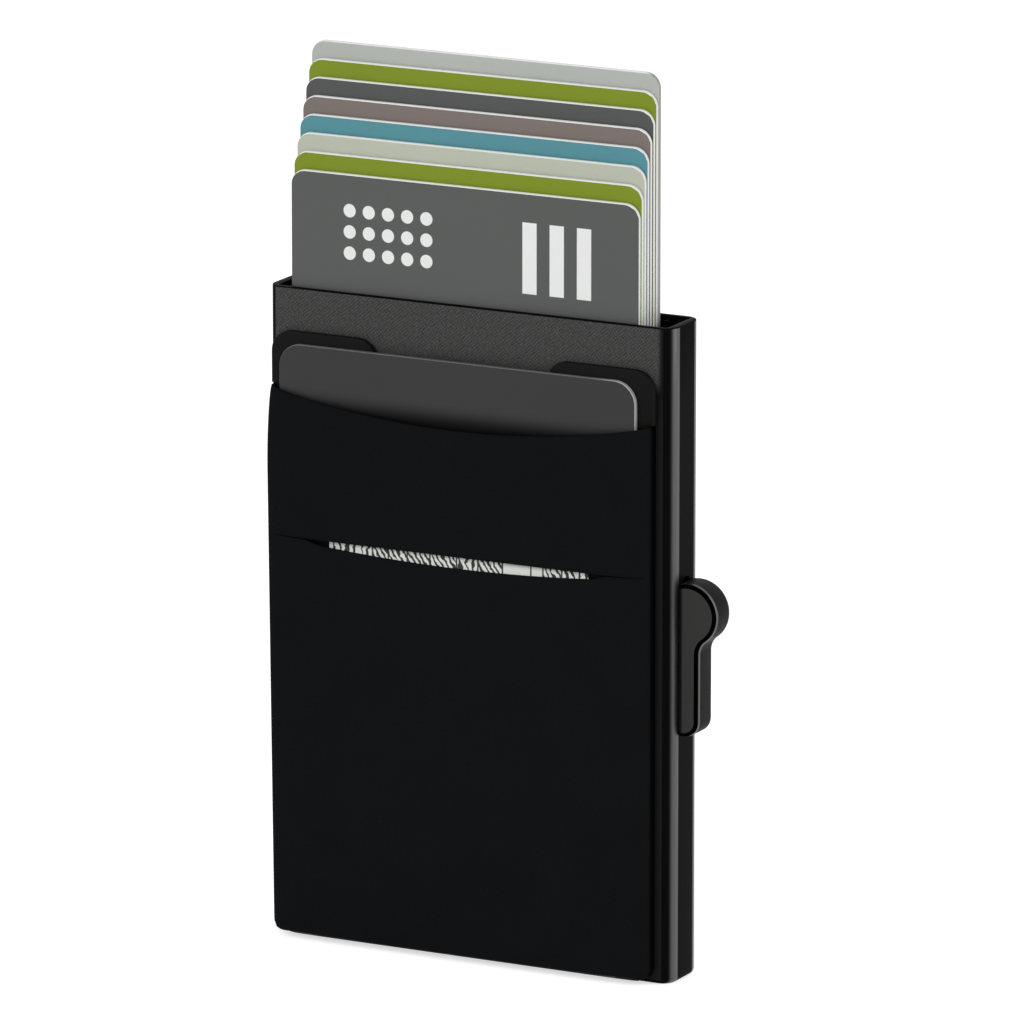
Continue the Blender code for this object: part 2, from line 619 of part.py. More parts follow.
def build_pocket(plastic, fabric, tape, card_material, paper):
    """Plate on its tape, the stretch sleeve round it, and what the sleeve holds."""
    add_node("pocket_plate", prism(plate_outline(), "Y", PLATE_FRONT, PLATE_BACK), plastic)

    window = PLATE_HALF_W - HEM_W
    tape_half = window - TAPE_ROOM
    tape_low = PLATE_LOW + HEM_W + TAPE_ROOM
    tape_high = PLATE_TOP - NOTCH_DEPTH - PLATE_EAR_R
    tape_box = box((POCKET_X - tape_half, POCKET_X + tape_half),
                   (PLATE_BACK + LAYER_GAP / 2, FRONT_Y - LAYER_GAP / 2), (tape_low, tape_high))
    add_node("plate_tape", tape_box, tape)

    outer = sleeve(FABRIC_HALF_W, HEM_BACK, FABRIC_FRONT, FABRIC_LOW, PLATE_TOE_R)
    pocket = add_node("elastic_pocket", outer, fabric)
    inner_half = FABRIC_HALF_W - FABRIC_T
    carve(pocket, sleeve(inner_half, HEM_BACK - FABRIC_T, FABRIC_BACK, FABRIC_LOW + FABRIC_T,
                         PLATE_TOE_R - FABRIC_T))
    carve(pocket, box((POCKET_X - window, POCKET_X + window), (HEM_BACK - CARD_T, HEM_BACK + CARD_T),
                      (PLATE_LOW + HEM_W, CASE_H)))
    rim = []
    for i in range(25):
        across = 1.1 * (i / 12 - 1)
        rim.append((POCKET_X + FABRIC_HALF_W * across, mouth_height(across)))
    rim += [(rim[-1][0], CASE_H), (rim[0][0], CASE_H)]
    carve(pocket, prism(rim, "Y", 2 * FABRIC_FRONT, 0.0))
    lips = []
    for i in range(25):
        across = i / 12 - 1
        lips.append((POCKET_X + SLIT_HALF_W * across, SLIT_Z - SLIT_SAG * (1 - across ** 2)))
    carve(pocket, prism(lips, "Y", 2 * FABRIC_FRONT, POCKET_CARD_FRONT))

    low = PLATE_LOW + LAYER_GAP
    half = POCKET_CARD_W / 2
    card_outline = rounded_rect(-half, half, 0.0, POCKET_CARD_TOP - low, POCKET_CARD_R)
    card = add_node("pocket_card", prism(card_outline, "Y", 0.0, CARD_T), card_material)
    card.location = (POCKET_CARD_X, POCKET_CARD_FRONT, low)
    fold = NOTE_T / 2 - LAYER_GAP
    note_outline = rounded_rect(-NOTE_W / 2, NOTE_W / 2, 0.0, NOTE_T, fold, 3)
    note = add_node("banknote", prism(note_outline, "Z", 0.0, NOTE_H), paper)
    note.location = (NOTE_X, NOTE_FRONT, low + PLATE_TOE_R)


def main():
    """Clear the scene and build every piece."""
    for item in list(bpy.data.objects):
        bpy.data.objects.remove(item, do_unlink=True)
    anodised = make_material("anodised_aluminium", (0.03, 0.03, 0.031), 0.38, 0.6)
    black_plastic = make_material("black_plastic", (0.018, 0.018, 0.019), 0.42)
    lift_plastic = make_material("lift_plastic", (0.05, 0.05, 0.052), 0.5)
    cap_plastic = make_material("cap_plastic", (0.02, 0.02, 0.02), 0.5)
    carriage_steel = make_material("steel", (0.42, 0.42, 0.43), 0.35, 1.0)
    felt = make_material("felt", (0.03, 0.03, 0.03), 0.95)
    plate_plastic = make_material("plate_plastic", (0.012, 0.012, 0.012), 0.5)
    stretch_fabric = make_material("stretch_fabric", (0.006, 0.0065, 0.008), 0.85)
    tape = make_material("foam_tape", (0.25, 0.25, 0.25), 0.9)
    dark_card = make_material("dark_card", (0.045, 0.045, 0.045), 0.4)
    paper = make_material("paper", (0.55, 0.58, 0.52), 0.8)
    build_case(anodised, cap_plastic)
    build_cards()
    build_lift(carriage_steel, lift_plastic)
    build_slider(carriage_steel, black_plastic)
    build_brakes(felt)
    build_pocket(plate_plastic, stretch_fabric, tape, dark_card, paper)
    for node in bpy.data.objects:
        node.data.shade_smooth()
        node.data.set_sharp_from_angle(angle=math.radians(SMOOTH_ANGLE))


if __name__ == "__main__":
    main()
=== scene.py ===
"""Looks of a slim pop-up card wallet: grained case, printed cards, thumb lever and stretch pocket."""

import math

import bmesh
import bpy
from mathutils import Matrix, Vector


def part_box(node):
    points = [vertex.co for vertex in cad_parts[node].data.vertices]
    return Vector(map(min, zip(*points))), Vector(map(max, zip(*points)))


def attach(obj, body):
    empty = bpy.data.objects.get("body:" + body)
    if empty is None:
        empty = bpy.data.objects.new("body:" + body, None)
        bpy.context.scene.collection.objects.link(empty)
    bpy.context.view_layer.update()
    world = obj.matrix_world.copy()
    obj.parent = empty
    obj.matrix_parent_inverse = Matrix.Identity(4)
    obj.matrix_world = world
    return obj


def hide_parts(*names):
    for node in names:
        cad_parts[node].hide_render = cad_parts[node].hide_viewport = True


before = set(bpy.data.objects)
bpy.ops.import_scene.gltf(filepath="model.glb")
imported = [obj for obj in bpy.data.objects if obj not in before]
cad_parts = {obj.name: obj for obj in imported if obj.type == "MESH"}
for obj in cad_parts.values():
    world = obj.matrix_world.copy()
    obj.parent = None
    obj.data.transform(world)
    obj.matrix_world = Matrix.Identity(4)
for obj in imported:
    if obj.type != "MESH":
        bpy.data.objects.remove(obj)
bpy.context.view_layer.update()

bl_info = {
    "name": "Pop-up card wallet",
    "version": (1, 0, 0),
    "blender": (4, 5, 0),
    "location": "View3D > Sidebar > Wallet",
    "description": "Dresses the packed card wallet with its finished pieces and a plain stage",
    "category": "Object",
}

MM = 0.001
CARD_NAMES = [f"card_{number}" for number in range(1, 9)]
DOTS_LEFT, DOTS_LOW, DOT_PITCH, DOT_RADIUS = -19.0 * MM, 98.5 * MM, 3.0 * MM, 0.95 * MM
BARS_LEFT, BAR_PITCH, BAR_WIDTH, BARS_LOW, BARS_HIGH = 9.0 * MM, 4.2 * MM, 2.2 * MM, 95.5 * MM, 105.5 * MM
CASE_LOW, CASE_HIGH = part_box("case_shell")
# Shares of Y in a normal above which a face belongs to the case's front, on its left and right, or its back.
FRONT_LEFT, FRONT_RIGHT, BACK = 0.9, 0.94, 0.9
# Height over which the grain darkens at its lower end, as painted shade from the pocket.
GRAIN_SHADE_HEIGHT = 3 * MM
# Depths behind the case's front between which the polished band starts and ends.
BAND_NEAR, BAND_FAR = (0.5 * MM, 1.3 * MM), (2.0 * MM, 2.4 * MM)
LEVER_LOW, LEVER_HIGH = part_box("thumb_lever")
LEVER_GAP = 0.1 * MM
# Shares of Y in a normal below which the lever's faces pass from one finish to the next. These finishes are
# darker copies of one plastic, which paint shade on the lever's rounded edges and rim.
LEVER_FACINGS = (0.985, 0.5, 0.08)
PLATE_LOW, PLATE_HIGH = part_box("pocket_plate")
CLOTH_LOW, CLOTH_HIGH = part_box("elastic_pocket")
NOTE_LOW, NOTE_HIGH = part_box("banknote")
CORNER_STEPS, EDGE_STEPS = 12, 6
# A card's faces above FLAT are its flat sides. Its print wraps an edge where the pull passes WRAP_FROM.
FLAT, WRAP_PULL, WRAP_FROM = 0.98, 0.8, 1.37
# The middle value is the height over which the card in the pocket darkens above the mouth, as painted shade.
DARK_CARD_EDGE, DARK_CARD_SHADE_HEIGHT, DARK_CARD_RIM = 0.14 * MM, 3.8 * MM, 3.2
# Each lamp's name, power in watts, width and height, and place.
LAMPS = (
    ("key", 9.0, (0.9, 0.9), (-0.55, -1.25, 0.95)),
    ("fill", 2.5, (0.9, 0.9), (0.9, -1.0, 0.6)),
    ("side_strip", 2.7, (0.5, 1.0), (0.86, 0.18, 0.35)),
)
FLOOR_REACH, FLOOR_GLOW = 4.0, 0.62
SENSOR_WIDTH = 36.0


def length(name, description, default):
    """Return a property that holds a length in metres."""
    return bpy.props.FloatProperty(name=name, description=description, default=default, precision=5,
                                   unit="LENGTH", subtype="DISTANCE")


def share(name, description, default):
    """Return a property that holds a plain share from 0 to 1."""
    return bpy.props.FloatProperty(name=name, description=description, default=default, min=0.0, max=1.0,
                                   subtype="FACTOR")


def colour(name, description, default):
    """Return a property that holds a linear colour."""
    return bpy.props.FloatVectorProperty(name=name, description=description, default=default, size=3, min=0.0,
                                         max=1.0, subtype="COLOR")


class CaseSettings(bpy.types.PropertyGroup):
    """Sizes and finish of the case."""

    wall: length("Wall", "Thickness of the front and back walls", 0.9 * MM)
    side_wall: length("Side wall", "Thickness of the two side walls", 1.3 * MM)
    cavity_radius: length("Cavity radius", "Radius of the inner corners", 0.4 * MM)
    edge_radius: length("Edge radius", "Radius of the four upright edges", 2.2 * MM)
    foot_radius: length("Foot radius", "Radius of the edge round the bottom", 0.8 * MM)
    rim_radius: length("Rim radius", "Rounding of the rim at the top", 0.15 * MM)
    rib_left: length("Rib place", "Left face of the two guide ribs", 26.815 * MM)
    rib_width: length("Rib width", "Thickness of the guide ribs", 0.6 * MM)
    rib_gap: length("Rib gap", "Clear way between the guide ribs", 4.4 * MM)
    slot_radius: length("Slot radius", "Half the width of the lever's slot", 1.4 * MM)
    slot_low: length("Slot low", "Lower end of the lever's slot", 36.3 * MM)
    slot_high: length("Slot high", "Upper end of the lever's slot", 57.5 * MM)
    grain_low: length("Grain low", "Height above which the front is grained", 83.0 * MM)
    grain_pitch: length("Grain pitch", "Distance between the grain's lines", 0.38 * MM)
    grain_colour: colour("Grain colour", "Colour of the grained front", (0.054, 0.054, 0.0532))
    metal_colour: colour("Metal colour", "Colour of the anodised metal", (0.0028, 0.0026, 0.0027))


class CardSettings(bpy.types.PropertyGroup):
    """Sizes and colours of the raised cards."""

    corner_radius: length("Corner radius", "Radius of a card's corners", 2.2 * MM)
    edge_radius: length("Edge radius", "Rounding of a card's edges", 0.23 * MM)
    edge_colour: colour("Edge colour", "Colour of a card's core at its edges", (0.84, 0.85, 0.83))
    rear_edge: colour("Rear edge", "Colour of the rear card's right edge", (0.3, 0.305, 0.3))
    mark_colour: colour("Mark colour", "Colour of the front card's plain marks", (0.86, 0.87, 0.86))
    card_1: colour("Card 1", "Front card", (0.096, 0.1, 0.097))
    card_2: colour("Card 2", "Second card", (0.205, 0.272, 0.014))
    card_3: colour("Card 3", "Third card", (0.5, 0.53, 0.44))
    card_4: colour("Card 4", "Fourth card", (0.091, 0.279, 0.323))
    card_5: colour("Card 5", "Fifth card", (0.2, 0.168, 0.155))
    card_6: colour("Card 6", "Sixth card", (0.084, 0.087, 0.085))
    card_7: colour("Card 7", "Seventh card", (0.205, 0.272, 0.014))
    card_8: colour("Card 8", "Rear card", (0.462, 0.485, 0.451))


class LeverSettings(bpy.types.PropertyGroup):
    """Sizes and finish of the thumb lever."""

    stem_out: length("Stem", "How far the stem stands out of the case's side", 3.0 * MM)
    head_radius: length("Head radius", "Radius of the round head", 4.45 * MM)
    head_out: length("Head place", "Distance of the head's centre from the case's side", 1.3 * MM)
    head_rise: length("Head height", "Height of the head's centre above the lever's lower end", 17.3 * MM)
    neck_radius: length("Neck radius", "Radius of the hollow between head and stem", 2.4 * MM)
    toe_radius: length("Toe radius", "Radius of the lower corner", 2.2 * MM)
    edge_radius: length("Edge radius", "Rounding of the front and back edges", 0.75 * MM)
    colour: colour("Colour", "Colour of the lever's plastic", (0.036, 0.036, 0.035))


class PocketSettings(bpy.types.PropertyGroup):
    """Sizes and finish of the front pocket and what it holds."""

    plate_ear_radius: length("Ear radius", "Radius of the plate's ears and notch", 3.0 * MM)
    plate_toe_radius: length("Toe radius", "Radius of the plate's lower corners", 2.2 * MM)
    plate_ear_out: length("Ear reach", "How far the ears stand out past the covered part", 0.65 * MM)
    plate_ear_low: length("Ear height", "Height where the plate starts to widen", 79.4 * MM)
    plate_flare: length("Ear flare", "Height over which the plate widens", 0.15 * MM)
    notch_width: length("Notch width", "Width of the notch between the ears", 26.6 * MM)
    notch_depth: length("Notch depth", "Depth of the notch between the ears", 9.0 * MM)
    cloth: length("Cloth", "Thickness of the stretch cloth", 0.4 * MM)
    crown: bpy.props.FloatProperty(name="Crown", description="Fullness of the cloth's section", default=7.0)
    hem: length("Hem", "Cloth turned in behind the plate", 6.0 * MM)
    mouth: length("Mouth", "Height of the mouth at its middle", 76.0 * MM)
    mouth_rise: length("Mouth rise", "How much higher the mouth is at its ends", 3.35 * MM)
    slit: length("Slit", "Height of the slit's upper lip", 58.2 * MM)
    slit_sag: length("Slit sag", "How far the lower lip sags", 1.7 * MM)
    bulge: length("Bulge", "How far the cloth stands out on the left, near the mouth", 0.75 * MM)
    cloth_colour: colour("Cloth colour", "Colour of the stretch cloth", (0.0066, 0.0073, 0.0084))
    plate_colour: colour("Plate colour", "Colour of the plate", (0.0045, 0.0045, 0.0043))
    card_colour: colour("Card colour", "Upper colour of the card in the pocket", (0.031, 0.031, 0.031))
    # Painted shade: the darker colour of the pocket card near its mouth, in place of the mouth's shadow.
    card_foot: colour("Card foot", "Lower colour of the card in the pocket", (0.004, 0.004, 0.004))
    card_edge: colour("Card edge", "Colour of the pocket card's right edge", (0.42, 0.42, 0.42))
    note_colour: colour("Note colour", "Colour of the note's paper", (0.77, 0.81, 0.76))
    note_ink: colour("Note ink", "Colour of the note's print", (0.02, 0.022, 0.02))
    card_corner: length("Card corner", "Radius of the pocket card's corners", 3.3 * MM)


class StageSettings(bpy.types.PropertyGroup):
    """Camera and light."""

    azimuth: bpy.props.FloatProperty(name="Azimuth", description="Camera's angle to the right of the front",
                                     default=math.radians(27.46), subtype="ANGLE")
    elevation: bpy.props.FloatProperty(name="Elevation", description="Camera's angle above the horizon",
                                       default=math.radians(13.48), subtype="ANGLE")
    distance: length("Distance", "Camera's distance from the point it looks at", 1.5)
    lens: bpy.props.FloatProperty(name="Lens", description="Camera's focal length in millimetres",
                                  default=381.0)
    aim: bpy.props.FloatVectorProperty(name="Aim", description="Point the camera looks at", size=3,
                                       default=(4.52 * MM, 0.0, 63.54 * MM), subtype="TRANSLATION")
    ambient: share("Ambient", "Strength of the even light from all round", 0.45)


def node(tree, kind, inputs=None, **attributes):
    """Add a shader node, set its attributes, and link or set its inputs."""
    made = tree.nodes.new(kind)
    for key, value in attributes.items():
        setattr(made, key, value)
    for key, value in (inputs or {}).items():
        if isinstance(value, bpy.types.NodeSocket):
            tree.links.new(value, made.inputs[key])
        else:
            made.inputs[key].default_value = value
    return made


def start_material(name, **values):
    """Return a new material's tree and its Principled shader with plain values set on it."""
    material = bpy.data.materials.new(name)
    material.use_nodes = True
    tree = material.node_tree
    shader = tree.nodes["Principled BSDF"]
    for key, value in values.items():
        shader.inputs[key.replace("_", " ")].default_value = value
    return material, tree, shader


def math_node(tree, operation, first, second=0.0):
    """Return the output of a Math node."""
    return node(tree, "ShaderNodeMath", {0: first, 1: second}, operation=operation).outputs[0]


def times(tree, first, second):
    """Return the product of two values."""
    return math_node(tree, "MULTIPLY", first, second)


def axes_of(tree, vector):
    """Return a vector's X, Y and Z."""
    return node(tree, "ShaderNodeSeparateXYZ", {"Vector": vector}).outputs


def weighted(tree, first, first_share, second, second_share):
    """Return the sum of two values, each times its share."""
    return math_node(tree, "ADD", times(tree, first, first_share),
                     times(tree, second, second_share))


def map_range(tree, value, low, high, to_low=0.0, to_high=1.0):
    """Return a value mapped smoothly from one range to another."""
    made = node(tree, "ShaderNodeMapRange", {"Value": value, "From Min": low, "From Max": high,
                                             "To Min": to_low, "To Max": to_high},
                interpolation_type="SMOOTHSTEP")
    return made.outputs["Result"]


def mix_colour(tree, factor, first, second):
    """Return a mix of two colours, given as sockets or as linear colours."""
    made = node(tree, "ShaderNodeMix", data_type="RGBA")
    for index, value in ((0, factor), (6, first), (7, second)):
        socket = made.inputs[index]
        if isinstance(value, bpy.types.NodeSocket):
            tree.links.new(value, socket)
        elif index:
            socket.default_value = (*value[:3], 1.0)
        else:
            socket.default_value = value
    return made.outputs[2]


def scaled(base, factor):
    """Return a colour made lighter or darker by a factor."""
    return tuple(min(1.0, channel * factor) for channel in base)


def place(tree, turn=(0.0, 0.0, 0.0), stretch=(1.0, 1.0, 1.0)):
    """Return object coordinates, turned and stretched."""
    coordinates = node(tree, "ShaderNodeTexCoord").outputs["Object"]
    mapped = node(tree, "ShaderNodeMapping", {"Vector": coordinates, "Rotation": turn, "Scale": stretch})
    return mapped.outputs[0]


def noise(tree, vector, scale, detail=2.0, roughness=0.5):
    """Return a noise value."""
    return node(tree, "ShaderNodeTexNoise", {"Vector": vector, "Scale": scale, "Detail": detail,
                                             "Roughness": roughness}).outputs["Fac"]


def waves(tree, vector, pitch, distortion=0.0, direction="X"):
    """Return bands of a given pitch along one axis of a vector."""
    return node(tree, "ShaderNodeTexWave", {"Vector": vector, "Scale": math.tau / (20 * pitch),
                                            "Distortion": distortion, "Detail": 2.0, "Detail Scale": 2.0},
                bands_direction=direction).outputs["Fac"]


def bump(tree, shader, height, distance, strength=1.0):
    """Give a shader a bump of a real height."""
    made = node(tree, "ShaderNodeBump", {"Height": height, "Distance": distance, "Strength": strength})
    tree.links.new(made.outputs[0], shader.inputs["Normal"])


def speckled(name, base, roughness, pitch, depth, contrast=0.12, **values):
    """Return a moulded finish: one colour with a fine, shallow speckle."""
    material, tree, shader = start_material(name, **values)
    vector = place(tree)
    fine = noise(tree, vector, 1 / pitch)
    broad = noise(tree, vector, 0.12 / pitch)
    both = times(tree, math_node(tree, "ADD", fine, broad), 0.5)
    tone = mix_colour(tree, both, scaled(base, 1 - contrast), scaled(base, 1 + contrast))
    tree.links.new(tone, shader.inputs["Base Color"])
    rough = map_range(tree, broad, 0.3, 0.7, roughness - 0.04, roughness + 0.04)
    tree.links.new(rough, shader.inputs["Roughness"])
    bump(tree, shader, fine, depth, 0.5)
    return material


def finish_piece(name, bm, materials, body, *nodes, slot=None, smooth_angle=35.0):
    """Turn a mesh into a piece that rides on a body and stands for its CAD nodes."""
    mesh = bpy.data.meshes.new(name)
    bm.to_mesh(mesh)
    bm.free()
    for material in materials:
        mesh.materials.append(material)
    mesh.shade_smooth()
    mesh.set_sharp_from_angle(angle=math.radians(smooth_angle))
    piece = bpy.data.objects.new(name, mesh)
    bpy.context.scene.collection.objects.link(piece)
    if body:
        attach(piece, body)
    if nodes:
        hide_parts(*nodes)
    return piece


def moved_up(result):
    """Return the vertices that an extrusion made."""
    return [item for item in result["geom"] if isinstance(item, bmesh.types.BMVert)]


def round_corners(bm, verts, radius, segments):
    """Round the corners of a flat outline."""
    bmesh.ops.bevel(bm, geom=verts, offset=radius, offset_type="OFFSET", segments=segments, profile=0.5,
                    affect="VERTICES", material=-1)


def round_edges(bm, edges, radius, segments):
    """Round chosen edges of a solid."""
    bmesh.ops.bevel(bm, geom=edges, offset=radius, offset_type="OFFSET", segments=segments, profile=0.5,
                    affect="EDGES", clamp_overlap=False, material=-1)


def level_edges(bm, axis, level):
    """Return the edges that lie wholly at one level along an axis."""
    return [edge for edge in bm.edges if all(abs(vert.co[axis] - level) < 1e-7 for vert in edge.verts)]


def stand_plate(bm, front, back):
    """Extrude a flat face in the XZ plane from its front to its back."""
    grown = bmesh.ops.extrude_face_region(bm, geom=bm.faces[:])
    bmesh.ops.translate(bm, verts=moved_up(grown), vec=(0.0, back - front, 0.0))
    bmesh.ops.recalc_face_normals(bm, faces=bm.faces)


def upright_quad(low, high, front):
    """Return a mesh with one upright rectangle that faces the front."""
    bm = bmesh.new()
    bmesh.ops.create_grid(bm, x_segments=1, y_segments=1, size=0.5)
    bmesh.ops.rotate(bm, verts=bm.verts, matrix=Matrix.Rotation(math.pi / 2, 3, "X"))
    bmesh.ops.scale(bm, verts=bm.verts, vec=(high.x - low.x, 1.0, high.z - low.z))
    bmesh.ops.translate(bm, verts=bm.verts, vec=((low.x + high.x) / 2, front, (low.z + high.z) / 2))
    return bm


def card_mesh(low, high, corner, edge, wrap=False):
    """Return a card with round corners and softened edges.

    Edges that face up or right show the second material. Where the print wraps, it turns over the front
    of the edges on the right.
    """
    bm = upright_quad(low, high, low.y)
    round_corners(bm, bm.verts[:], corner, CORNER_STEPS)
    stand_plate(bm, low.y, high.y)
    round_edges(bm, level_edges(bm, 1, low.y) + level_edges(bm, 1, high.y), edge, EDGE_STEPS)
    bm.normal_update()
    for face in bm.faces:
        normal = face.normal
        if abs(normal.y) > FLAT:
            continue
        facing = normal.x / math.hypot(normal.x, normal.z)
        wrapped = wrap and WRAP_PULL * facing - normal.y > WRAP_FROM
        if not wrapped and (facing > -0.3 or normal.z > 0.3):
            face.material_index = 1
    return bm


def box_mesh(low, high):
    """Return a plain box between two corners."""
    bm = bmesh.new()
    bmesh.ops.create_cube(bm, size=1.0)
    bmesh.ops.scale(bm, verts=bm.verts, vec=Vector(high) - Vector(low))
    bmesh.ops.translate(bm, verts=bm.verts, vec=(Vector(high) + Vector(low)) / 2)
    return bm


def join_solid(bm, tool, operation):
    """Join a second solid to a mesh, or cut it away."""
    ends = []
    for source in (bm, tool):
        mesh = bpy.data.meshes.new("solid")
        source.to_mesh(mesh)
        source.free()
        solid = bpy.data.objects.new("solid", mesh)
        bpy.context.scene.collection.objects.link(solid)
        ends.append(solid)
    target, cutter = ends
    modifier = target.modifiers.new("join", "BOOLEAN")
    modifier.object = cutter
    modifier.operation = operation
    graph = bpy.context.evaluated_depsgraph_get()
    result = bmesh.new()
    result.from_mesh(bpy.data.meshes.new_from_object(target.evaluated_get(graph)))
    for solid in ends:
        bpy.data.objects.remove(solid)
    return result


def grained_front(settings):
    """Return the case's front: a fine cross-hatched grain, darkened at its lower end as painted shade from
    the pocket.
    """
    material, tree, shader = start_material("grained_front", Roughness=0.6, Specular_IOR_Level=0.05)
    rising = place(tree, turn=(0.0, math.radians(38), 0.0))
    falling = place(tree, turn=(0.0, math.radians(-52), 0.0))
    first = waves(tree, rising, settings.grain_pitch, 3.5)
    second = waves(tree, falling, settings.grain_pitch, 3.5)
    hatch = times(tree, first, second)
    patches = noise(tree, place(tree), 2200.0, 2.0)
    both = weighted(tree, hatch, 0.6, patches, 0.8)
    tone = mix_colour(tree, both, scaled(settings.grain_colour, 0.3), scaled(settings.grain_colour, 1.7))
    axes = axes_of(tree, place(tree))
    turned = CASE_HIGH.x - settings.edge_radius
    kept = map_range(tree, axes["X"], turned - 0.2 * MM, turned + 0.6 * MM, 1.0, 0.0)
    # Painted shade: the grain darkens to dark metal over its lowest few millimetres, in place of the pocket's
    # shadow.
    out_of_shade = map_range(tree, axes["Z"], settings.grain_low, settings.grain_low + GRAIN_SHADE_HEIGHT)
    kept = times(tree, kept, out_of_shade)
    tone = mix_colour(tree, kept, scaled(settings.metal_colour, 2.0), tone)
    tree.links.new(tone, shader.inputs["Base Color"])
    bump(tree, shader, both, 0.05 * MM, 0.5)
    return material


def anodised(settings):
    """Return the case's smooth anodised metal."""
    return speckled("anodised_metal", settings.metal_colour, 0.4, 0.25 * MM, 0.003 * MM, 0.2,
                    Specular_IOR_Level=0.008)


def polished(settings):
    """Return the case's metal with a polished band on its rounded right edges."""
    material, tree, shader = start_material("polished_edge", Roughness=0.36)
    vector = place(tree)
    tone = mix_colour(tree, noise(tree, vector, 4000.0), settings.metal_colour,
                      scaled(settings.metal_colour, 1.6))
    tree.links.new(tone, shader.inputs["Base Color"])
    deep = math_node(tree, "ABSOLUTE", axes_of(tree, vector)["Y"])
    front = CASE_HIGH.y
    near = map_range(tree, deep, front - BAND_NEAR[1], front - BAND_NEAR[0], 1.0, 0.0)
    far = map_range(tree, deep, front - BAND_FAR[1], front - BAND_FAR[0])
    band = times(tree, near, far)
    tree.links.new(map_range(tree, band, 0.0, 1.0, 0.008, 0.9), shader.inputs["Specular IOR Level"])
    return material


def satin(settings):
    """Return the smooth finish of the case's back, and of its front beside and behind the pocket. It is
    darker than the grain; beside the pocket that darker colour is painted shade from the pocket.
    """
    return speckled("satin_front", scaled(settings.metal_colour, 4.6), 0.5, 0.25 * MM, 0.003 * MM, 0.2,
                    Specular_IOR_Level=0.03)


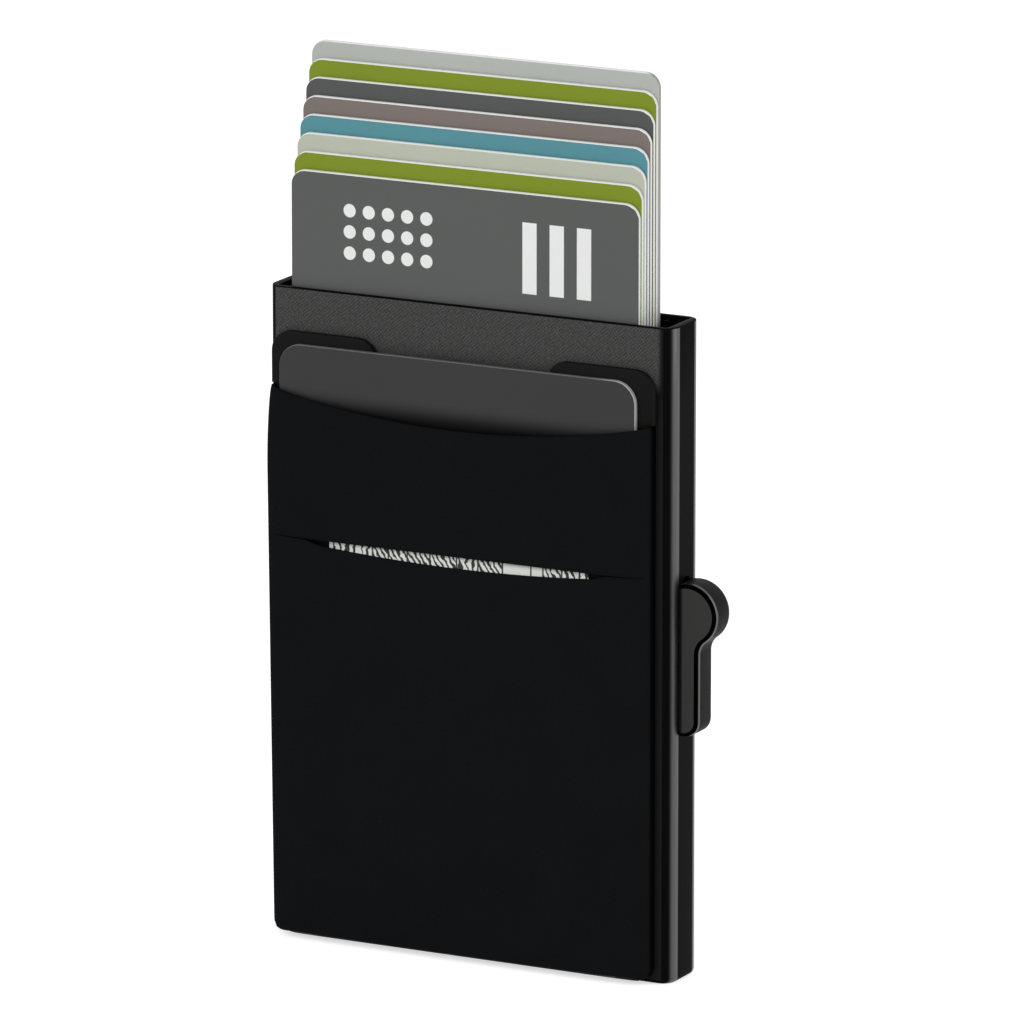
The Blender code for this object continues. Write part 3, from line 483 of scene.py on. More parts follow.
class WALLET_OT_case(bpy.types.Operator):
    """Tube of the case with its guide ribs, lever slot and grained front"""

    bl_idname = "wallet.case"
    bl_label = "Case"

    def execute(self, context):
        settings = context.scene.wallet_case
        half = (CASE_HIGH - CASE_LOW) / 2
        height = CASE_HIGH.z
        bm = bmesh.new()
        self.outline(bm, half.x, half.y, settings.edge_radius)
        self.outline(bm, half.x - settings.side_wall, half.y - settings.wall, settings.cavity_radius)
        bmesh.ops.bridge_loops(bm, edges=bm.edges[:])
        grown = bmesh.ops.extrude_face_region(bm, geom=bm.faces[:])
        bmesh.ops.translate(bm, verts=moved_up(grown), vec=(0.0, 0.0, height))
        bmesh.ops.recalc_face_normals(bm, faces=bm.faces)
        rim = level_edges(bm, 2, height)
        rim = [edge for edge in rim if edge.calc_face_angle(0.0) > 1.0]
        round_edges(bm, rim, settings.rim_radius, 2)
        foot = [edge for edge in level_edges(bm, 2, 0.0) if edge.calc_face_angle(0.0) > 1.0]
        outer = [edge for edge in foot if all(self.is_outer(vert.co, half, settings) for vert in edge.verts)]
        round_edges(bm, outer, settings.foot_radius, 5)
        inner = half.y - settings.wall / 2
        for side in (-1, 1):
            near = sorted((side * settings.rib_gap / 2, side * inner))
            rib = box_mesh((settings.rib_left, near[0], MM), (settings.rib_left + settings.rib_width, near[1],
                                                              height - 0.5 * MM))
            bm = join_solid(bm, rib, "UNION")
        bm = join_solid(bm, self.slot(settings, half), "DIFFERENCE")
        bmesh.ops.bisect_plane(bm, geom=[*bm.verts, *bm.edges, *bm.faces], dist=1e-7,
                               plane_co=(0.0, 0.0, settings.grain_low), plane_no=(0.0, 0.0, 1.0))
        for face in bm.faces:
            face.material_index = self.finish_of(face, half, settings)
        finishes = [anodised(settings), grained_front(settings), polished(settings), satin(settings)]
        finish_piece("case", bm, finishes, "case", "case_shell", slot="anodised_aluminium")
        return {"FINISHED"}

    @staticmethod
    def outline(bm, half_x, half_y, radius):
        """Add one closed outline of the tube at the bottom."""
        made = bmesh.ops.create_grid(bm, x_segments=1, y_segments=1, size=1.0)
        bmesh.ops.scale(bm, verts=made["verts"], vec=(half_x, half_y, 1.0))
        round_corners(bm, made["verts"], radius, 14)
        bmesh.ops.delete(bm, geom=bm.faces[:], context="FACES_ONLY")

    def finish_of(self, face, half, settings):
        """Return which finish a face has: 1 grained, 2 polished, 3 satin, else 0."""
        middle = face.calc_center_median()
        facing = -face.normal.y
        if abs(face.normal.z) > 0.9 or middle.z > CASE_HIGH.z - settings.rim_radius:
            return 0
        if not self.is_outer(middle, half, settings):
            return 0
        # On the front, the satin finish below the grain is darker than the grain as painted shade beside the
        # pocket.
        if facing > (FRONT_RIGHT if middle.x > 0 else FRONT_LEFT):
            return 1 if middle.z > settings.grain_low else 3
        if facing < -BACK:
            return 3
        return 2 if middle.x > 0 else 0

    @staticmethod
    def is_outer(point, half, settings):
        """Tell if a point lies on the case's outside and not on its inner wall."""
        reach = settings.wall / 2
        corner = settings.edge_radius
        across = abs(point.x) - (half.x - corner)
        deep = abs(point.y) - (half.y - corner)
        if across > 0 and deep > 0:
            return math.hypot(across, deep) > corner - reach
        return abs(point.x) > half.x - reach or abs(point.y) > half.y - reach

    @staticmethod
    def slot(settings, half):
        """Return the cutter of the lever's slot: a bar with round ends."""
        bm = bmesh.new()
        bmesh.ops.create_grid(bm, x_segments=1, y_segments=1, size=1.0)
        bmesh.ops.rotate(bm, verts=bm.verts, matrix=Matrix.Rotation(math.pi / 2, 3, "Y"))
        tall = (settings.slot_high - settings.slot_low) / 2
        bmesh.ops.scale(bm, verts=bm.verts, vec=(1.0, settings.slot_radius, tall))
        bmesh.ops.translate(bm, verts=bm.verts, vec=(half.x - settings.side_wall * 1.5, 0.0,
                                                     (settings.slot_high + settings.slot_low) / 2))
        round_corners(bm, bm.verts[:], settings.slot_radius * 0.999, 8)
        grown = bmesh.ops.extrude_face_region(bm, geom=bm.faces[:])
        bmesh.ops.translate(bm, verts=moved_up(grown), vec=(settings.side_wall * 3, 0.0, 0.0))
        bmesh.ops.recalc_face_normals(bm, faces=bm.faces)
        return bm


def within(tree, value, low, high):
    """Return 1 where a value lies between two limits and 0 elsewhere, with a thin soft edge."""
    soft = 0.04 * MM
    rises = map_range(tree, value, low - soft, low + soft)
    return times(tree, rises, map_range(tree, value, high - soft, high + soft, 1.0, 0.0))


def to_row(tree, value, first, pitch):
    """Return the distance of a value from the nearest of a row of evenly spaced places."""
    return math_node(tree, "PINGPONG", math_node(tree, "SUBTRACT", value, first), pitch / 2)


def plain_marks(tree, x, z):
    """Return a generic print: a block of dots on the left and a few upright bars on the right."""
    across = to_row(tree, x, DOTS_LEFT, DOT_PITCH)
    upward = to_row(tree, z, DOTS_LOW, DOT_PITCH)
    away = node(tree, "ShaderNodeCombineXYZ", {"X": across, "Z": upward}).outputs[0]
    away = node(tree, "ShaderNodeVectorMath", {0: away}, operation="LENGTH").outputs["Value"]
    dots = within(tree, away, -DOT_PITCH, DOT_RADIUS)
    room = DOT_PITCH / 2
    block = within(tree, x, DOTS_LEFT - room, DOTS_LEFT + 4 * DOT_PITCH + room)
    dots = times(tree, dots, block)
    block = within(tree, z, DOTS_LOW - room, DOTS_LOW + 2 * DOT_PITCH + room)
    dots = times(tree, dots, block)
    bars = within(tree, to_row(tree, x, BARS_LEFT, BAR_PITCH), -BAR_PITCH, BAR_WIDTH / 2)
    block = within(tree, x, BARS_LEFT - BAR_WIDTH, BARS_LEFT + 2.5 * BAR_PITCH)
    bars = times(tree, bars, block)
    bars = times(tree, bars, within(tree, z, BARS_LOW, BARS_HIGH))
    return math_node(tree, "MAXIMUM", dots, bars)


def card_print(name, base, painted_shade=None, marks=None):
    """Return a card's printed face: satin plastic with a faint mottled print.

    A painted shade gives a darker colour for the card near the pocket's mouth, in place of the mouth's
    shadow, and the heights between which it gives way to the first; it also dulls the gloss there.
    Marks give the colour of a generic print on top.
    """
    material, tree, shader = start_material(name, Roughness=0.38, Specular_IOR_Level=0.2)
    vector = place(tree)
    cloud = noise(tree, vector, 45.0, 3.0)
    fine = noise(tree, vector, 2600.0, 2.0)
    both = weighted(tree, cloud, 0.7, fine, 0.3)
    tone = mix_colour(tree, both, scaled(base, 0.93), scaled(base, 1.07))
    axes = axes_of(tree, vector)
    # Painted shade: the card darkens and loses its gloss near the pocket's mouth, in place of the mouth's
    # shadow.
    if painted_shade:
        kept = map_range(tree, axes["Z"], painted_shade[1], painted_shade[2])
        tone = mix_colour(tree, kept, painted_shade[0], tone)
        tree.links.new(map_range(tree, kept, 0.0, 1.0, 0.03, 0.2), shader.inputs["Specular IOR Level"])
    if marks:
        tone = mix_colour(tree, plain_marks(tree, axes["X"], axes["Z"]), tone, marks)
    tree.links.new(tone, shader.inputs["Base Color"])
    bump(tree, shader, fine, 0.004 * MM, 0.3)
    return material


def card_edge(name, along_top, at_side, turn_from, turn_to):
    """Return a card's edge: one colour along the top, and another at the right side."""
    material, tree, shader = start_material(name, Roughness=0.5)
    vector = place(tree)
    across = axes_of(tree, vector)["X"]
    tone = mix_colour(tree, map_range(tree, across, turn_from, turn_to), tuple(along_top), tuple(at_side))
    tree.links.new(tone, shader.inputs["Base Color"])
    bump(tree, shader, noise(tree, vector, 1 / (0.3 * MM)), 0.004 * MM, 0.5)
    return material


class WALLET_OT_cards(bpy.types.Operator):
    """The cards, each a printed face on a pale core"""

    bl_idname = "wallet.cards"
    bl_label = "Cards"

    def execute(self, context):
        settings = context.scene.wallet_cards
        core = speckled("card_core", settings.edge_colour, 0.5, 0.3 * MM, 0.004 * MM, 0.06)
        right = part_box(CARD_NAMES[-1])[1].x
        rear_edge = card_edge("rear_card_edge", settings.edge_colour, settings.rear_edge,
                              right - settings.corner_radius, right - 0.4 * settings.corner_radius)
        for name in CARD_NAMES:
            low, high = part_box(name)
            bm = card_mesh(low, high, settings.corner_radius, settings.edge_radius, wrap=True)
            marks = tuple(settings.mark_colour) if name == CARD_NAMES[0] else None
            face = card_print("print_" + name, tuple(getattr(settings, name)), marks=marks)
            edge = rear_edge if name == CARD_NAMES[-1] else core
            finish_piece("raised_" + name, bm, [face, edge], name, name, slot=name)
        return {"FINISHED"}


def spin_on(bm, vert, centre, angle, steps):
    """Carry an outline on from a vertex round an arc, and return the arc's last vertex."""
    made = bmesh.ops.spin(bm, geom=[vert], cent=centre, axis=(0.0, -1.0, 0.0), angle=angle, steps=steps)
    return made["geom_last"][0]


def line_on(bm, vert, x, z):
    """Carry an outline on from a vertex along a straight line, and return its end."""
    made = bmesh.ops.extrude_vert_indiv(bm, verts=[vert])
    made["verts"][0].co = (x, vert.co.y, z)
    return made["verts"][0]


class WALLET_OT_lever(bpy.types.Operator):
    """Thumb lever: a straight stem, a hollow neck and a round head"""

    bl_idname = "wallet.lever"
    bl_label = "Thumb lever"

    def execute(self, context):
        settings = context.scene.wallet_lever
        side = CASE_HIGH.x
        inner = side + LEVER_GAP
        low = LEVER_LOW.z
        stem = side + settings.stem_out
        head = Vector((side + settings.head_out, LEVER_LOW.y, low + settings.head_rise))
        neck_x = stem + settings.neck_radius
        drop = math.sqrt((settings.head_radius + settings.neck_radius) ** 2 - (neck_x - head.x) ** 2)
        neck = Vector((neck_x, LEVER_LOW.y, head.z - drop))
        turn = math.atan2(drop, neck_x - head.x)
        top = math.acos((inner - head.x) / settings.head_radius)
        bm = bmesh.new()
        first = bm.verts.new((inner, LEVER_LOW.y, low))
        toe = line_on(bm, first, stem - settings.toe_radius, low)
        toe = spin_on(bm, toe, (stem - settings.toe_radius, LEVER_LOW.y, low + settings.toe_radius),
                      math.pi / 2, 12)
        neck_end = line_on(bm, toe, stem, neck.z)
        neck_end = spin_on(bm, neck_end, neck, -turn, 10)
        last = spin_on(bm, neck_end, head, turn + top, 36)
        bm.edges.new((last, first))
        bmesh.ops.remove_doubles(bm, verts=bm.verts, dist=1e-6)
        bmesh.ops.contextual_create(bm, geom=bm.edges[:])
        stand_plate(bm, LEVER_LOW.y, LEVER_HIGH.y)
        rims = level_edges(bm, 1, LEVER_LOW.y) + level_edges(bm, 1, LEVER_HIGH.y)
        rims = [edge for edge in rims if max(vert.co.x for vert in edge.verts) > inner + 1e-6]
        round_edges(bm, rims, settings.edge_radius, 9)
        for face in bm.faces:
            face.material_index = sum(abs(face.normal.y) <= limit for limit in LEVER_FACINGS)
        base = tuple(settings.colour)
        face = self.front_finish(base, inner)
        speckle = (0.12 * MM, 0.002 * MM, 0.15)
        # Darker copies of the plastic by facing: the nearly black front half of the rounding and the darker
        # rim are painted shade; the outer half is a darker copy too, as painted shade, with strong gloss for
        # its highlight.
        dark = speckled("lever_edge", scaled(base, 0.03), 0.4, *speckle, Specular_IOR_Level=0.0)
        gloss = speckled("lever_gloss", scaled(base, 0.3), 0.3, *speckle, Specular_IOR_Level=0.9)
        outer = speckled("lever_rim", scaled(base, 0.3), 0.45, *speckle, Specular_IOR_Level=0.03)
        finish_piece("lever", bm, [face, dark, gloss, outer], "slider", "thumb_lever", slot="black_plastic")
        return {"FINISHED"}

    @staticmethod
    def front_finish(base, inner):
        """Return the finish of the lever's flat faces: satin plastic with a dark line along the case, painted
        shade of the gap there.
        """
        material, tree, shader = start_material("lever_face", Roughness=0.4, Specular_IOR_Level=0.06)
        vector = place(tree)
        tone = mix_colour(tree, noise(tree, vector, 6000.0), scaled(base, 0.9), scaled(base, 1.1))
        across = axes_of(tree, vector)["X"]
        # Painted shade: the face turns nearly black next to the case, in place of the gap's shadow.
        clear = map_range(tree, across, inner + 0.3 * MM, inner + 0.6 * MM)
        tree.links.new(mix_colour(tree, clear, scaled(base, 0.05), tone), shader.inputs["Base Color"])
        return material


class WALLET_OT_plate(bpy.types.Operator):
    """Pocket plate with two ears and a notch between them"""

    bl_idname = "wallet.plate"
    bl_label = "Pocket plate"

    def execute(self, context):
        settings = context.scene.wallet_pocket
        middle = (PLATE_LOW.x + PLATE_HIGH.x) / 2
        floor = PLATE_HIGH.z - settings.notch_depth
        half = settings.notch_width / 2
        left = PLATE_LOW.x + settings.plate_ear_out
        right = PLATE_HIGH.x - settings.plate_ear_out
        ear = settings.plate_ear_low
        wide = ear + settings.plate_flare
        corners = [(left, PLATE_LOW.z), (right, PLATE_LOW.z), (PLATE_HIGH.x, PLATE_HIGH.z),
                   (middle + half, PLATE_HIGH.z), (middle + half, floor), (middle - half, floor),
                   (middle - half, PLATE_HIGH.z), (PLATE_LOW.x, PLATE_HIGH.z), (PLATE_LOW.x, wide),
                   (left, ear)]
        corners[2:2] = [(right, ear), (PLATE_HIGH.x, wide)]
        bm = bmesh.new()
        verts = [bm.verts.new((x, PLATE_LOW.y, z)) for x, z in corners]
        bm.faces.new(verts)
        round_corners(bm, verts[4:10], settings.plate_ear_radius, 10)
        toes = [vert for vert in bm.verts if abs(vert.co.z - PLATE_LOW.z) < 1e-7]
        round_corners(bm, toes, settings.plate_toe_radius, 8)
        stand_plate(bm, PLATE_LOW.y, PLATE_HIGH.y)
        round_edges(bm, level_edges(bm, 1, PLATE_LOW.y), 0.15 * MM, 2)
        material = speckled("plate_plastic", tuple(settings.plate_colour), 0.5, 0.2 * MM, 0.006 * MM, 0.15,
                            Specular_IOR_Level=0.06)
        finish_piece("plate", bm, [material], "case", "pocket_plate", slot="plate_plastic")
        return {"FINISHED"}


def even_points(points, count):
    """Return points spaced evenly along a line of points."""
    spans = [(b - a).length for a, b in zip(points, points[1:])]
    total = sum(spans)
    made = [points[0]]
    index = 0
    passed = 0.0
    for step in range(1, count):
        goal = total * step / count
        while passed + spans[index] < goal:
            passed += spans[index]
            index += 1
        made.append(points[index].lerp(points[index + 1], (goal - passed) / spans[index]))
    return made + [points[-1]]


def cloth_section(settings):
    """Return the pocket's section as shares: across from -1 to 1, and out from 0 at the back to 1."""
    fine = []
    for step in range(801):
        turn = math.pi * (1 - step / 800)
        across = math.copysign(abs(math.cos(turn)) ** (2 / settings.crown), math.cos(turn))
        fine.append(Vector((across, max(0.0, math.sin(turn)) ** (2 / settings.crown))))
    half = (CLOTH_HIGH.x - CLOTH_LOW.x) / 2
    deep = CLOTH_HIGH.y - CLOTH_LOW.y
    real = [Vector((point.x * half, point.y * deep)) for point in fine]
    return [Vector((point.x / half, point.y / deep)) for point in even_points(real, 120)]


def stretch_cloth(settings):
    """Return the pocket's stretch cloth: a fine close knit, nearly black near the case as painted shade."""
    material, tree, shader = start_material("stretch_cloth", Roughness=0.85)
    shader.inputs["Specular IOR Level"].default_value = 0.02
    vector = place(tree)
    courses = waves(tree, vector, 0.34 * MM, 0.6, "Z")
    wales = waves(tree, vector, 0.3 * MM, 0.6, "X")
    knit = times(tree, courses, wales)
    broad = noise(tree, vector, 120.0, 4.0)
    height = weighted(tree, knit, 0.5, broad, 0.5)
    base = tuple(settings.cloth_colour)
    tone = mix_colour(tree, height, scaled(base, 0.75), scaled(base, 1.3))
    # Painted shade: the cloth turns nearly black where it curves back to the case, in place of the shaded gap
    # at its sides.
    deep = axes_of(tree, vector)["Y"]
    clear = map_range(tree, deep, CLOTH_HIGH.y - 2.0 * MM, CLOTH_HIGH.y - 0.9 * MM, 1.0, 0.0)
    tone = mix_colour(tree, clear, scaled(base, 0.03), tone)
    tree.links.new(tone, shader.inputs["Base Color"])
    bump(tree, shader, knit, 0.05 * MM, 0.5)
    return material


class WALLET_OT_cloth(bpy.types.Operator):
    """Stretch cloth of the pocket, with a curved mouth and a slit across it"""

    bl_idname = "wallet.cloth"
    bl_label = "Pocket cloth"

    def execute(self, context):
        settings = context.scene.wallet_pocket
        section = cloth_section(settings)
        bm = bmesh.new()
        self.panel(bm, section, settings, 60, self.floor, self.lower_lip)
        self.panel(bm, section, settings, 30, self.upper_lip, self.mouth)
        bmesh.ops.remove_doubles(bm, verts=bm.verts, dist=0.01 * MM)
        bmesh.ops.recalc_face_normals(bm, faces=bm.faces)
        material = stretch_cloth(settings)
        edge = speckled("cloth_edge", scaled(settings.cloth_colour, 0.9), 0.9, 0.3 * MM, 0.02 * MM, 0.3,
                        Specular_IOR_Level=0.02)
        piece = finish_piece("pocket_cloth", bm, [material, edge], "case", "elastic_pocket",
                             slot="stretch_fabric", smooth_angle=60.0)
        thick = piece.modifiers.new("thickness", "SOLIDIFY")
        thick.thickness = settings.cloth
        thick.offset = -1.0
        thick.use_even_offset = False
        thick.material_offset_rim = 1
        return {"FINISHED"}

    @staticmethod
    def floor(across, settings):
        """Return the height of the pocket's bottom."""
        return CLOTH_LOW.z

    @staticmethod
    def lower_lip(across, settings):
        """Return the height of the slit's lower lip, which hangs open where the note fills it."""
        hang = min(1.0, max(0.3, (0.82 - abs(across)) / 0.1))
        return settings.slit - settings.slit_sag * hang * max(0.0, 1 - across ** 2)

    @staticmethod
    def upper_lip(across, settings):
        """Return the height of the slit's upper lip."""
        return settings.slit

    @staticmethod
    def mouth(across, settings):
        """Return the height of the mouth."""
        return settings.mouth + settings.mouth_rise * across ** 2

    def panel(self, bm, section, settings, rows, low, high):
        """Add one panel of cloth between a lower and an upper edge, hems included."""
        count = len(section) + 4
        made = bmesh.ops.create_grid(bm, x_segments=count - 1, y_segments=rows, size=0.5)
        for vert in made["verts"]:
            column = round((vert.co.x + 0.5) * (count - 1))
            rise = vert.co.y + 0.5
            vert.co = self.cloth_point(section, settings, column, rise, low, high)

    def cloth_point(self, section, settings, column, rise, low, high):
        """Return where one point of the cloth lies."""
        middle = (CLOTH_LOW.x + CLOTH_HIGH.x) / 2
        half = (CLOTH_HIGH.x - CLOTH_LOW.x) / 2
        deep = CLOTH_HIGH.y - CLOTH_LOW.y
        inside = min(max(column - 2, 0), len(section) - 1)
        across, out = section[inside]
        turned = max(2 - column, column - 1 - len(section), 0) / 2
        z = low(across, settings) + (high(across, settings) - low(across, settings)) * rise
        above = z - CLOTH_LOW.z
        toe = settings.plate_toe_radius
        inset = 0.0
        if above < toe:
            inset = toe - math.sqrt(toe ** 2 - (toe - above) ** 2)
        roll = min(1.0, above / MM)
        out *= 0.25 + 0.75 * math.sqrt(1 - (1 - roll) ** 2)
        x = across * (half - inset)
        if across < 0:
            x -= settings.bulge * self.bulge(z, settings) * across ** 2
        x -= math.copysign(turned * settings.hem, across)
        return Vector((middle + x, CLOTH_HIGH.y - deep * out, z))

    @staticmethod
    def bulge(z, settings):
        """Return how full the left edge is at a height, from 0 to 1."""
        peak = settings.mouth - 8 * MM
        end = settings.mouth + settings.mouth_rise
        if z < peak:
            return z / peak
        return max(0.0, math.cos((z - peak) / (end - peak) * math.pi / 2)) ** 0.6


class WALLET_OT_contents(bpy.types.Operator):
    """Plain dark card and folded note in the pocket"""

    bl_idname = "wallet.contents"
    bl_label = "Pocket contents"

    def execute(self, context):
        settings = context.scene.wallet_pocket
        low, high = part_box("pocket_card")
        bm = card_mesh(low, high, settings.card_corner, DARK_CARD_EDGE)
        # Painted shade on the card where the pocket's mouth shades it.
        painted_shade = (tuple(settings.card_foot), settings.mouth, settings.mouth + DARK_CARD_SHADE_HEIGHT)
        face = card_print("dark_card", tuple(settings.card_colour), painted_shade)
        edge = card_edge("dark_card_edge", scaled(settings.card_colour, DARK_CARD_RIM), settings.card_edge,
                         high.x - 2.2 * settings.card_corner, high.x - 0.2 * settings.card_corner)
        finish_piece("slipped_card", bm, [face, edge], "pocket_card", "pocket_card", slot="dark_card")
        self.note(settings)
        return {"FINISHED"}

    @staticmethod
    def note(settings):
        """Make the note: one sheet folded twice, with a plain engraved pattern."""
        layers = 4
        pitch = (NOTE_HIGH.y - NOTE_LOW.y) / layers
        paper = pitch * 0.8
        fold = pitch / 2
        left = NOTE_LOW.x + fold + paper / 2
        right = NOTE_HIGH.x - fold - paper / 2
        y = NOTE_LOW.y + pitch / 2
        bm = bmesh.new()
        vert = bm.verts.new((left, y, NOTE_LOW.z))
        for layer in range(layers):
            ends = (left, right) if layer % 2 == 0 else (right, left)
            for step in range(1, 11):
                vert = line_on(bm, vert, ends[0] + (ends[1] - ends[0]) * step / 10, NOTE_LOW.z)
            if layer < layers - 1:
                turn = -math.pi if layer % 2 == 0 else math.pi
                made = bmesh.ops.spin(bm, geom=[vert], cent=(ends[1], vert.co.y + fold, NOTE_LOW.z),
                                      axis=(0.0, 0.0, -1.0), angle=turn, steps=6)
                vert = made["geom_last"][0]
        bmesh.ops.remove_doubles(bm, verts=bm.verts, dist=1e-7)
        grown = bmesh.ops.extrude_edge_only(bm, edges=bm.edges[:])
        bmesh.ops.translate(bm, verts=moved_up(grown), vec=(0.0, 0.0, NOTE_HIGH.z - NOTE_LOW.z))
        bmesh.ops.recalc_face_normals(bm, faces=bm.faces)
        piece = finish_piece("folded_note", bm, [note_paper(settings)], "banknote", "banknote", slot="paper",
                             smooth_angle=60.0)
        thick = piece.modifiers.new("thickness", "SOLIDIFY")
        thick.thickness = paper
        thick.offset = 0.0


def note_paper(settings):
    """Return the note's paper: pale, with plain engraved lines in uneven blocks."""
    material, tree, shader = start_material("note_paper", Roughness=0.8)
    vector = place(tree)
    along = axes_of(tree, vector)["X"]
    cells = node(tree, "ShaderNodeTexVoronoi", {"W": along, "Scale": 300.0}, voronoi_dimensions="1D")
    chance = node(tree, "ShaderNodeSeparateColor", {"Color": cells.outputs["Color"]}).outputs["Red"]
    borders = node(tree, "ShaderNodeTexVoronoi", {"W": along, "Scale": 300.0}, voronoi_dimensions="1D",
                   feature="DISTANCE_TO_EDGE").outputs["Distance"]
    slanted = place(tree, turn=(0.0, math.radians(32), 0.0))
    hatch = waves(tree, slanted, 0.75 * MM, 4.5)
    curls = waves(tree, vector, 1.1 * MM, 7.0)
    lines = mix_colour(tree, map_range(tree, chance, 0.4, 0.42), hatch, curls)
    shade = map_range(tree, noise(tree, vector, 420.0, 2.0), 0.35, 0.65, 0.15, 0.6)
    drawn = math_node(tree, "GREATER_THAN", lines, shade)
    bare = map_range(tree, chance, 0.62, 0.64)
    pale = math_node(tree, "MAXIMUM", drawn, bare)
    pale = times(tree, pale, map_range(tree, borders, 0.02, 0.05))
    tone = mix_colour(tree, pale, tuple(settings.note_ink), tuple(settings.note_colour))
    tree.links.new(tone, shader.inputs["Base Color"])
    return material


class WALLET_OT_mechanism(bpy.types.Operator):
    """Finishes of the pieces inside the case"""

    bl_idname = "wallet.mechanism"
    bl_label = "Mechanism"

    def execute(self, context):
        steel = speckled("plain_steel", (0.5, 0.5, 0.51), 0.34, 0.2 * MM, 0.004 * MM, 0.08, Metallic=1.0)
        moulded = speckled("moulded_black", (0.02, 0.02, 0.021), 0.45, 0.2 * MM, 0.006 * MM, 0.15)
        felt = speckled("felt", (0.03, 0.03, 0.03), 0.95, 0.15 * MM, 0.08 * MM, 0.5)
        tape = speckled("foam_tape", (0.25, 0.25, 0.25), 0.9, 0.3 * MM, 0.05 * MM, 0.2)
        finishes = {
            "base_cap": moulded, "lift_arm": moulded, "arm_pivot_pin": steel, "arm_drive_pin": steel,
            "slider_carriage": steel, "slider_spring_front": steel, "slider_spring_rear": steel,
            "brake_pad_left": felt, "brake_pad_right_front": felt, "brake_pad_right_rear": felt,
            "plate_tape": tape,
        }
        for name, material in finishes.items():
            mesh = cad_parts[name].data
            mesh.materials.clear()
            mesh.materials.append(material)
        return {"FINISHED"}


def seen_rays(tree):
    """Return 1 for the rays that show what lies behind the object, and 0 for those that light it."""
    path = node(tree, "ShaderNodeLightPath")
    seen = math_node(tree, "MAXIMUM", path.outputs["Is Camera Ray"], path.outputs["Is Glossy Ray"])
    return math_node(tree, "MAXIMUM", seen, path.outputs["Is Transmission Ray"])


def add_lamp(name, energy, size, place_at, aim):
    """Add a rectangular soft lamp that points at the object."""
    light = bpy.data.lights.new(name, "AREA")
    light.shape = "RECTANGLE"
    light.size, light.size_y = size
    light.energy = energy
    lamp = bpy.data.objects.new(name, light)
    lamp.location = place_at
    lamp.rotation_euler = (Vector(aim) - Vector(place_at)).to_track_quat("-Z", "Y").to_euler()
    bpy.context.scene.collection.objects.link(lamp)


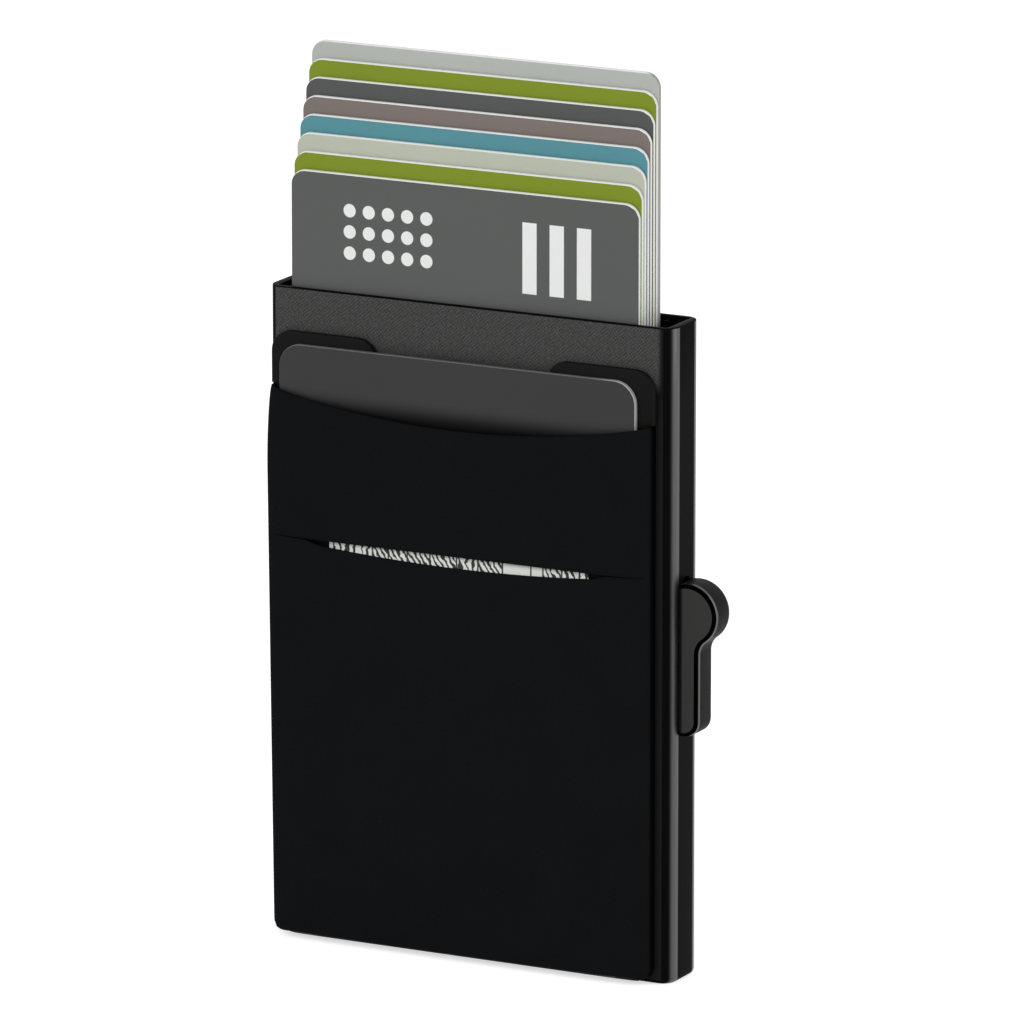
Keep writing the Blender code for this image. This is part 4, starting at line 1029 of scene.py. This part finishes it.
class WALLET_OT_stage(bpy.types.Operator):
    """Floor, light and camera"""

    bl_idname = "wallet.stage"
    bl_label = "Stage"

    def execute(self, context):
        settings = context.scene.wallet_stage
        scene = context.scene
        scene.view_settings.view_transform = "Standard"
        self.floor()
        self.world(settings)
        aim = Vector(settings.aim)
        for name, energy, size, place_at in LAMPS:
            add_lamp(name, energy, size, place_at, aim)
        ground = math.cos(settings.elevation)
        toward = Vector((math.sin(settings.azimuth) * ground, -math.cos(settings.azimuth) * ground,
                         math.sin(settings.elevation)))
        camera = bpy.data.cameras.new("camera")
        camera.lens = settings.lens
        camera.sensor_width = SENSOR_WIDTH
        viewer = bpy.data.objects.new("camera", camera)
        viewer.location = aim + toward * settings.distance
        viewer.rotation_euler = (-toward).to_track_quat("-Z", "Y").to_euler()
        scene.collection.objects.link(viewer)
        scene.camera = viewer
        return {"FINISHED"}

    @staticmethod
    def floor():
        """Lay a pale floor that shows white and keeps the object's shadow."""
        bm = bmesh.new()
        bmesh.ops.create_grid(bm, x_segments=1, y_segments=1, size=FLOOR_REACH)
        material, tree, shader = start_material("pale_floor", Roughness=0.9)
        shader.inputs["Specular IOR Level"].default_value = 0.0
        shader.inputs["Base Color"].default_value = (0.9, 0.9, 0.9, 1.0)
        seen = seen_rays(tree)
        shader.inputs["Emission Color"].default_value = (1.0, 1.0, 1.0, 1.0)
        tree.links.new(times(tree, seen, FLOOR_GLOW), shader.inputs["Emission Strength"])
        finish_piece("floor", bm, [material], None)

    @staticmethod
    def world(settings):
        """Light evenly from all round, and show white behind the object."""
        world = bpy.data.worlds.new("studio")
        bpy.context.scene.world = world
        world.use_nodes = True
        tree = world.node_tree
        back = tree.nodes["Background"]
        back.inputs["Color"].default_value = (1.0, 1.0, 1.0, 1.0)
        seen = seen_rays(tree)
        strength = node(tree, "ShaderNodeMapRange",
                        {"Value": seen, "To Min": settings.ambient, "To Max": 1.0})
        tree.links.new(strength.outputs["Result"], back.inputs["Strength"])


class WALLET_PT_panel(bpy.types.Panel):
    """Lists the wallet's pieces"""

    bl_label = "Wallet"
    bl_idname = "WALLET_PT_panel"
    bl_space_type = "VIEW_3D"
    bl_region_type = "UI"
    bl_category = "Wallet"

    def draw(self, context):
        for operator in OPERATORS:
            self.layout.operator(operator.bl_idname)
        for name in SETTINGS:
            settings = getattr(context.scene, name)
            column = self.layout.column()
            for key in settings.__annotations__:
                column.prop(settings, key)


SETTINGS = {
    "wallet_case": CaseSettings,
    "wallet_cards": CardSettings,
    "wallet_lever": LeverSettings,
    "wallet_pocket": PocketSettings,
    "wallet_stage": StageSettings,
}
OPERATORS = (WALLET_OT_case, WALLET_OT_cards, WALLET_OT_lever, WALLET_OT_plate, WALLET_OT_cloth,
             WALLET_OT_contents, WALLET_OT_mechanism, WALLET_OT_stage)


def register():
    """Register the settings, the operators and the panel."""
    for kind in (*SETTINGS.values(), *OPERATORS, WALLET_PT_panel):
        bpy.utils.register_class(kind)
    for name, kind in SETTINGS.items():
        setattr(bpy.types.Scene, name, bpy.props.PointerProperty(type=kind))


def unregister():
    """Take the settings, the operators and the panel away again."""
    for name in SETTINGS:
        delattr(bpy.types.Scene, name)
    for kind in (WALLET_PT_panel, *OPERATORS[::-1], *SETTINGS.values()):
        bpy.utils.unregister_class(kind)


def main():
    """Build every piece and the stage."""
    register()
    bpy.ops.wallet.case()
    bpy.ops.wallet.cards()
    bpy.ops.wallet.lever()
    bpy.ops.wallet.plate()
    bpy.ops.wallet.cloth()
    bpy.ops.wallet.contents()
    bpy.ops.wallet.mechanism()
    bpy.ops.wallet.stage()


if __name__ == "__main__":
    main()
